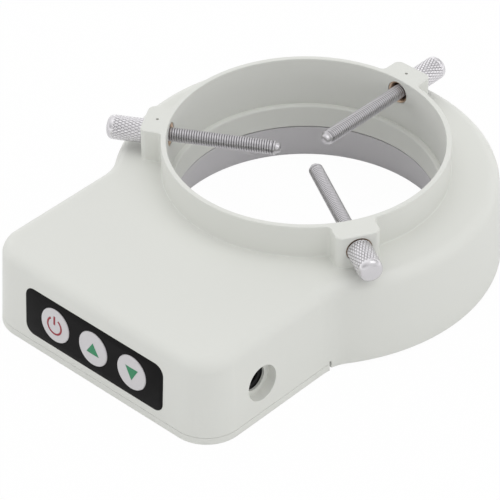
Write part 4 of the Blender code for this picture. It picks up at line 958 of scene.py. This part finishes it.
def make_ring():
    """The flared grey ring with its flange, and the frosted ring under it."""
    top, under = CARRIER_TOP - CARRIER_SINK, CARRIER_TOP - CARRIER_FLANGE
    reach = inner_wall(CARRIER_TOP) - CARRIER_GAP
    profile = rounded([(flare(top), top, 0.2), (flare(RING_BASE), RING_BASE, 0.3),
                       (flare(RING_BASE) + CARRIER_WALL, RING_BASE, 0.3),
                       (flare(under) + CARRIER_WALL, under, 0.4),
                       (reach, under, 0.2), (reach, top, 0.2)], True)
    depth = (under - OVERRUN, CARRIER_TOP + OVERRUN)
    steps = at_places(cut, CARRIER_SCREWS, (CARRIER_HOLE_RADIUS, *depth))
    place = polar(hypot(*CARRIER_SCREWS[0]), LEAD_HOLE_ANGLE)
    steps += at_places(cut, [place], (LEAD_HOLE_RADIUS, *depth), 36)
    mesh = shaped("grey_ring", turned(profile, 240), steps)
    show("grey_ring", mesh, "grey_plastic", ["led_carrier"], weighted=True)
    low, high = flare(RING_BASE) + CARRIER_WALL + CLEARANCE, inner_wall(RING_BASE) - CLEARANCE
    profile = rounded([(low, 0, 0.3), (high, 0, 0.3), (high, DIFFUSER_THICKNESS, 0.2),
                       (low, DIFFUSER_THICKNESS, 0.2)], True)
    mesh = make_mesh("frosted_ring", turned(profile, 240))
    show("frosted_ring", mesh, "diffuser", ["diffuser"])


make_ring()


# Thumbscrews, tips and inserts, with Z along the screw and out from the bore

def triangle_wave(t):
    """1 at whole numbers, falling straight to 0 halfway between them."""
    return np.abs(2 * (t - np.floor(t)) - 1)


def ramp(value, start, length):
    """0 up to start, 1 from start + length, and straight between them."""
    return np.clip((value - start) / length, 0, 1)


def thread_wave(t):
    """0 along each flat crest and 1 in each flat root, with straight flanks between them."""
    return np.clip(2.5 * triangle_wave(t) - 1.3, 0, 1)


def thread_cut(a, h):
    """A helix of depth * wave(h / pitch - a / turn), fading at both ends."""
    fade = ramp(h, THREAD_START, 0.2) * ramp(-h, -THREAD_END, 0.5)
    return THREAD_DEPTH * fade * thread_wave(h / THREAD_PITCH - a / FULL)


def knurl_cut(a, h):
    """Two crossing sets of helical grooves, deepest where count * turn +- (h - crossing) / pitch is whole."""
    around, along = KNURL_COUNT * a / FULL, (h - KNURL_CROSSING) / KNURL_PITCH
    groove = ramp(np.maximum(triangle_wave(around + along), triangle_wave(around - along)), 0.7, 0.3)
    return KNURL_DEPTH * ramp(h, KNURL_START, 0.1) * ramp(-h, -KNURL_END, 0.4) * groove


def make_thumbscrew(name, axes):
    """A threaded shaft and a knurled head with a domed end, as two closed solids in one mesh."""
    z = np.linspace(THREAD_START + 0.02, SHAFT_END, SHAFT_ROWS)
    shaft = np.concatenate([[(0, THREAD_START), (0.8, THREAD_START), (1.9, THREAD_START)],
                            np.column_stack([np.full(SHAFT_ROWS, SCREW_RADIUS), z]), [(0, SHAFT_END)]])
    shaft_points, shaft_faces, shaft_cut = turned_wave(shaft, SHAFT_STEPS, thread_cut)
    z = np.linspace(KNURL_START, KNURL_END, HEAD_ROWS)
    t = np.linspace(0, QUARTER, 32)[1:-1]
    dome = np.column_stack([HEAD_RADIUS * np.cos(t) ** DOME_POWER,
                            KNURL_END + HEAD_DOME * np.sin(t) ** DOME_POWER])
    head = np.concatenate([[(0, HEAD_FACE), (HEAD_RADIUS - 0.15, HEAD_FACE)],
                           np.column_stack([np.full(HEAD_ROWS, HEAD_RADIUS), z]), dome,
                           [(0, KNURL_END + HEAD_DOME)]])
    head_points, head_faces, head_cut = turned_wave(head, 8 * KNURL_COUNT, knurl_cut)
    # Painted shade: an even darkening along the thread's crests, more in its roots and the knurl's grooves,
    # and some over the domed end
    shaft_painted_shade = CREST_SHADE + ROOT_SHADE * shaft_cut / THREAD_DEPTH
    dome_painted_shade = DOME_SHADE * ramp(head_points[:, 2], KNURL_END - 0.2, 1)
    head_painted_shade = KNURL_SHADE * head_cut / KNURL_DEPTH + dome_painted_shade
    solid = merge((shaft_points, shaft_faces), (head_points, head_faces))
    mesh = marked_mesh(f"screw_{name}_turned", solid, axes, np.append(shaft_painted_shade, head_painted_shade))
    show(f"screw_{name}_turned", mesh, "steel", [f"thumbscrew_{name}"], f"screw_{name}", angle=50)


def make_tip(name, axes):
    """The shaft's free end: a rounded nose, rings cut at the thread's pitch, and a plain spigot."""
    nose = rounded(NOSE, steps=8)
    z = np.linspace(8.55, TIP_END, TIP_ROWS)
    rings = thread_wave(z / THREAD_PITCH)
    shaft = np.column_stack([TIP_RADIUS - THREAD_DEPTH * rings, z])
    spigot = [(SPIGOT_RADIUS, TIP_END), (SPIGOT_RADIUS, SPIGOT_END), (0, SPIGOT_END)]
    solid = turned(np.concatenate([nose, shaft, spigot]), SHAFT_STEPS)
    # Painted shade on the nose and along the rings' crests, more in their roots
    painted_shade = np.concatenate([np.full(len(nose) - 1, NOSE_SHADE), CREST_SHADE + ROOT_SHADE * rings, [0, 0]])
    painted_shade = np.append(np.repeat(painted_shade, SHAFT_STEPS), [0, 0])
    mesh = marked_mesh(f"tip_{name}_turned", solid, axes, painted_shade)
    show(f"tip_{name}_turned", mesh, "steel", [f"screw_tip_{name}"], f"tip_{name}", angle=50)


def make_insert(name, axes):
    """A brass bush with painted shade: bright at its inner mouth, darkened along its side in the hole and
    duller at its flange, in the gap round the head.
    """
    solid = turned(rounded(INSERT, True), 72)
    z = solid[0][:, 2]
    # Painted shade: dark down the bush inside the hole, lighter at the flange in the gap round the head
    side_painted_shade = np.minimum(ramp(z, INSERT_MOUTH, 0.6), INSERT_SHADE)
    painted_shade = np.where(z < BOSS_FACE - FLANGE_DEPTH - HAIR, side_painted_shade, FLANGE_SHADE)
    mesh = marked_mesh(f"insert_{name}_turned", solid, axes, painted_shade)
    show(f"insert_{name}_turned", mesh, "brass", [f"insert_{name}"])


for name, axes in SCREWS.items():
    make_thumbscrew(name, axes)
    make_tip(name, axes)
    make_insert(name, axes)


# Cover screws with a cross recess

def make_cover_screws():
    """A pan head below and a shank above, with a cross cut that narrows as it goes in."""
    corner = np.array([(CROSS_REACH, -CROSS_HALF), (CROSS_REACH, CROSS_HALF), (CROSS_HALF, CROSS_HALF)])
    quarter_turn = np.array([[0, 1], [-1, 0]])
    cross = np.concatenate([corner @ np.linalg.matrix_power(quarter_turn, turns) for turns in range(4)])
    for number, place in enumerate(COVER_SCREWS, 1):
        cutter = loft([lift(cross * scale + place, height) for height, scale in CROSS_LEVELS])
        screw = turned(rounded(COVER_SCREW, steps=6), 48, place)
        mesh = shaped(f"cross_screw_{number}", screw, [cut(cutter)])
        show(f"cross_screw_{number}", mesh, "zinc_screw", [f"cover_screw_{number}"])


make_cover_screws()


# CAD pieces that stay keep their shapes and take the finish of their slot

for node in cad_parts.values():
    for holder in node.material_slots:
        holder.material = FINISHES[holder.material.name]


# Floor, light and camera

def white_share(tree):
    """How white the background is: 1 seen straight or through glass, a share in reflections, 0 as light."""
    path = add_node(tree, "LightPath", {})
    straight = maths(tree, "ADD", path["Is Camera Ray"], path["Is Transmission Ray"])
    return maths(tree, "ADD", straight, maths(tree, "MULTIPLY", path["Is Glossy Ray"], MIRRORED_WHITE), True)


def make_floor():
    """A wide floor that the camera sees as mostly white, with a faint shadow under the lamp."""
    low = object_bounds()[0][2] / MM - FLOOR_DROP
    x = np.linspace(-FLOOR_REACH, FLOOR_REACH, 3)
    points = np.stack([*np.meshgrid(x, x), np.full((3, 3), low)], -1).reshape(-1, 3)
    mesh = plain_mesh("floor", (points, grid_faces(3, 3, closed_columns=False).tolist()))
    material = bpy.data.materials.new("pale_floor")
    material.use_nodes = True
    tree = material.node_tree
    shader = tree.nodes["Principled BSDF"]
    surface = use_group(tree, GRAIN, {"Size": 2.0})
    tint = use_group(tree, TINT, {"Colour": linear((240, 240, 240)), "Tone": surface["Tone"],
                                  "Drift": 0.01})
    fill(tree, shader, {"Base Color": tint["Colour"], "Roughness": 0.9})
    glow = add_node(tree, "Emission", {"Color": (1, 1, 1, 1), "Strength": 1.0})
    share = maths(tree, "MULTIPLY", white_share(tree), FLOOR_WHITE)
    mixed = add_node(tree, "MixShader", {0: share, 1: shader.outputs[0], 2: glow[0]})
    fill(tree, tree.nodes["Material Output"], {"Surface": mixed[0]})
    add_object("floor", mesh, material)


# How bright the sky is straight above, and towards each side high up and near the horizon
SKY = {"Zenith": 1.24, "Right": 0.88, "Left": 1.2, "Back": 0.03, "Front": 0.03,
       "Low right": 0.42, "Low left": 0.87, "Low back": 1.86, "Low front": 1.4}


def sky_group():
    """Soft light by direction: each side adds its weight, high up or low down, times the lean."""
    inputs = [(name, "Float", 0.0) for name in SKY]
    tree, given, out = new_group("studio_sky", inputs, ["Strength"])
    lean = add_node(tree, "SeparateXYZ", {0: add_node(tree, "TexCoord", {})["Generated"]})
    high = add_node(tree, "MapRange", {"Value": lean["Z"], "From Min": 0.05, "From Max": 0.45},
                    interpolation_type="SMOOTHSTEP")["Result"]
    low = maths(tree, "SUBTRACT", 1.0, high)
    above = maths(tree, "POWER", maths(tree, "MAXIMUM", lean["Z"], 0.0), 4.0)
    total = maths(tree, "MULTIPLY", above, given["Zenith"])
    sides = [("Right", "X", 1.0), ("Left", "X", -1.0), ("Back", "Y", 1.0), ("Front", "Y", -1.0)]
    for name, axis, sign in sides:
        side = maths(tree, "MAXIMUM", maths(tree, "MULTIPLY", lean[axis], sign), 0.0)
        weight = maths(tree, "ADD", maths(tree, "MULTIPLY", high, given[name]),
                       maths(tree, "MULTIPLY", low, given["Low " + name.lower()]))
        total = maths(tree, "ADD", total, maths(tree, "MULTIPLY", side, weight))
    fill(tree, out, {"Strength": total})
    return tree


def make_world():
    """Soft light from all round, which the camera sees as plain white."""
    world = bpy.data.worlds.new("studio")
    bpy.context.scene.world = world
    world.use_nodes = True
    tree = world.node_tree
    strength = use_group(tree, sky_group(), SKY)["Strength"]
    strength = add_node(tree, "Mix", {0: white_share(tree), 2: strength, 3: 1.0})[0]
    fill(tree, tree.nodes["Background"], {"Color": (1, 1, 1, 1), "Strength": strength})


def place_in_scene(item, axes, place):
    """Link a light or camera, with three unit axes as its turn, at a place in metres."""
    item.matrix_world = Matrix.Translation(place) @ Matrix(np.column_stack(axes).tolist()).to_4x4()
    bpy.context.scene.collection.objects.link(item)


def make_light():
    """One large soft light above, to the right, which faces the lamp."""
    data = bpy.data.lights.new("soft_key", "AREA")
    data.shape = "DISK"
    data.size = KEY_SIZE
    data.energy = KEY_POWER
    towards = np.array(KEY_TOWARDS)
    z = towards / np.linalg.norm(towards)
    x = np.cross((0, 1, 0), z)
    x = x / np.linalg.norm(x)
    place_in_scene(bpy.data.objects.new("soft_key", data), (x, np.cross(z, x), z), towards * KEY_DISTANCE)


def make_camera():
    """The camera worked out from the photograph: a long lens with a small turn about its own axis."""
    azimuth, elevation, roll = np.radians(CAMERA_TURN)
    back = np.array([sin(azimuth) * cos(elevation), -cos(azimuth) * cos(elevation),
                     sin(elevation)])
    right = np.array([cos(azimuth), sin(azimuth), 0])
    up = np.cross(back, right)
    across = cos(roll) * right + sin(roll) * up
    upward = -sin(roll) * right + cos(roll) * up
    data = bpy.data.cameras.new("camera")
    data.lens = CAMERA_LENS
    data.sensor_width = CAMERA_SENSOR
    data.shift_x, data.shift_y = CAMERA_SHIFT
    data.clip_end = CAMERA_REACH
    camera = bpy.data.objects.new("camera", data)
    place_in_scene(camera, (across, upward, back), CAMERA_PLACE)
    bpy.context.scene.camera = camera


make_floor()
make_world()
make_light()
make_camera()
bpy.context.scene.view_settings.view_transform = "Standard"
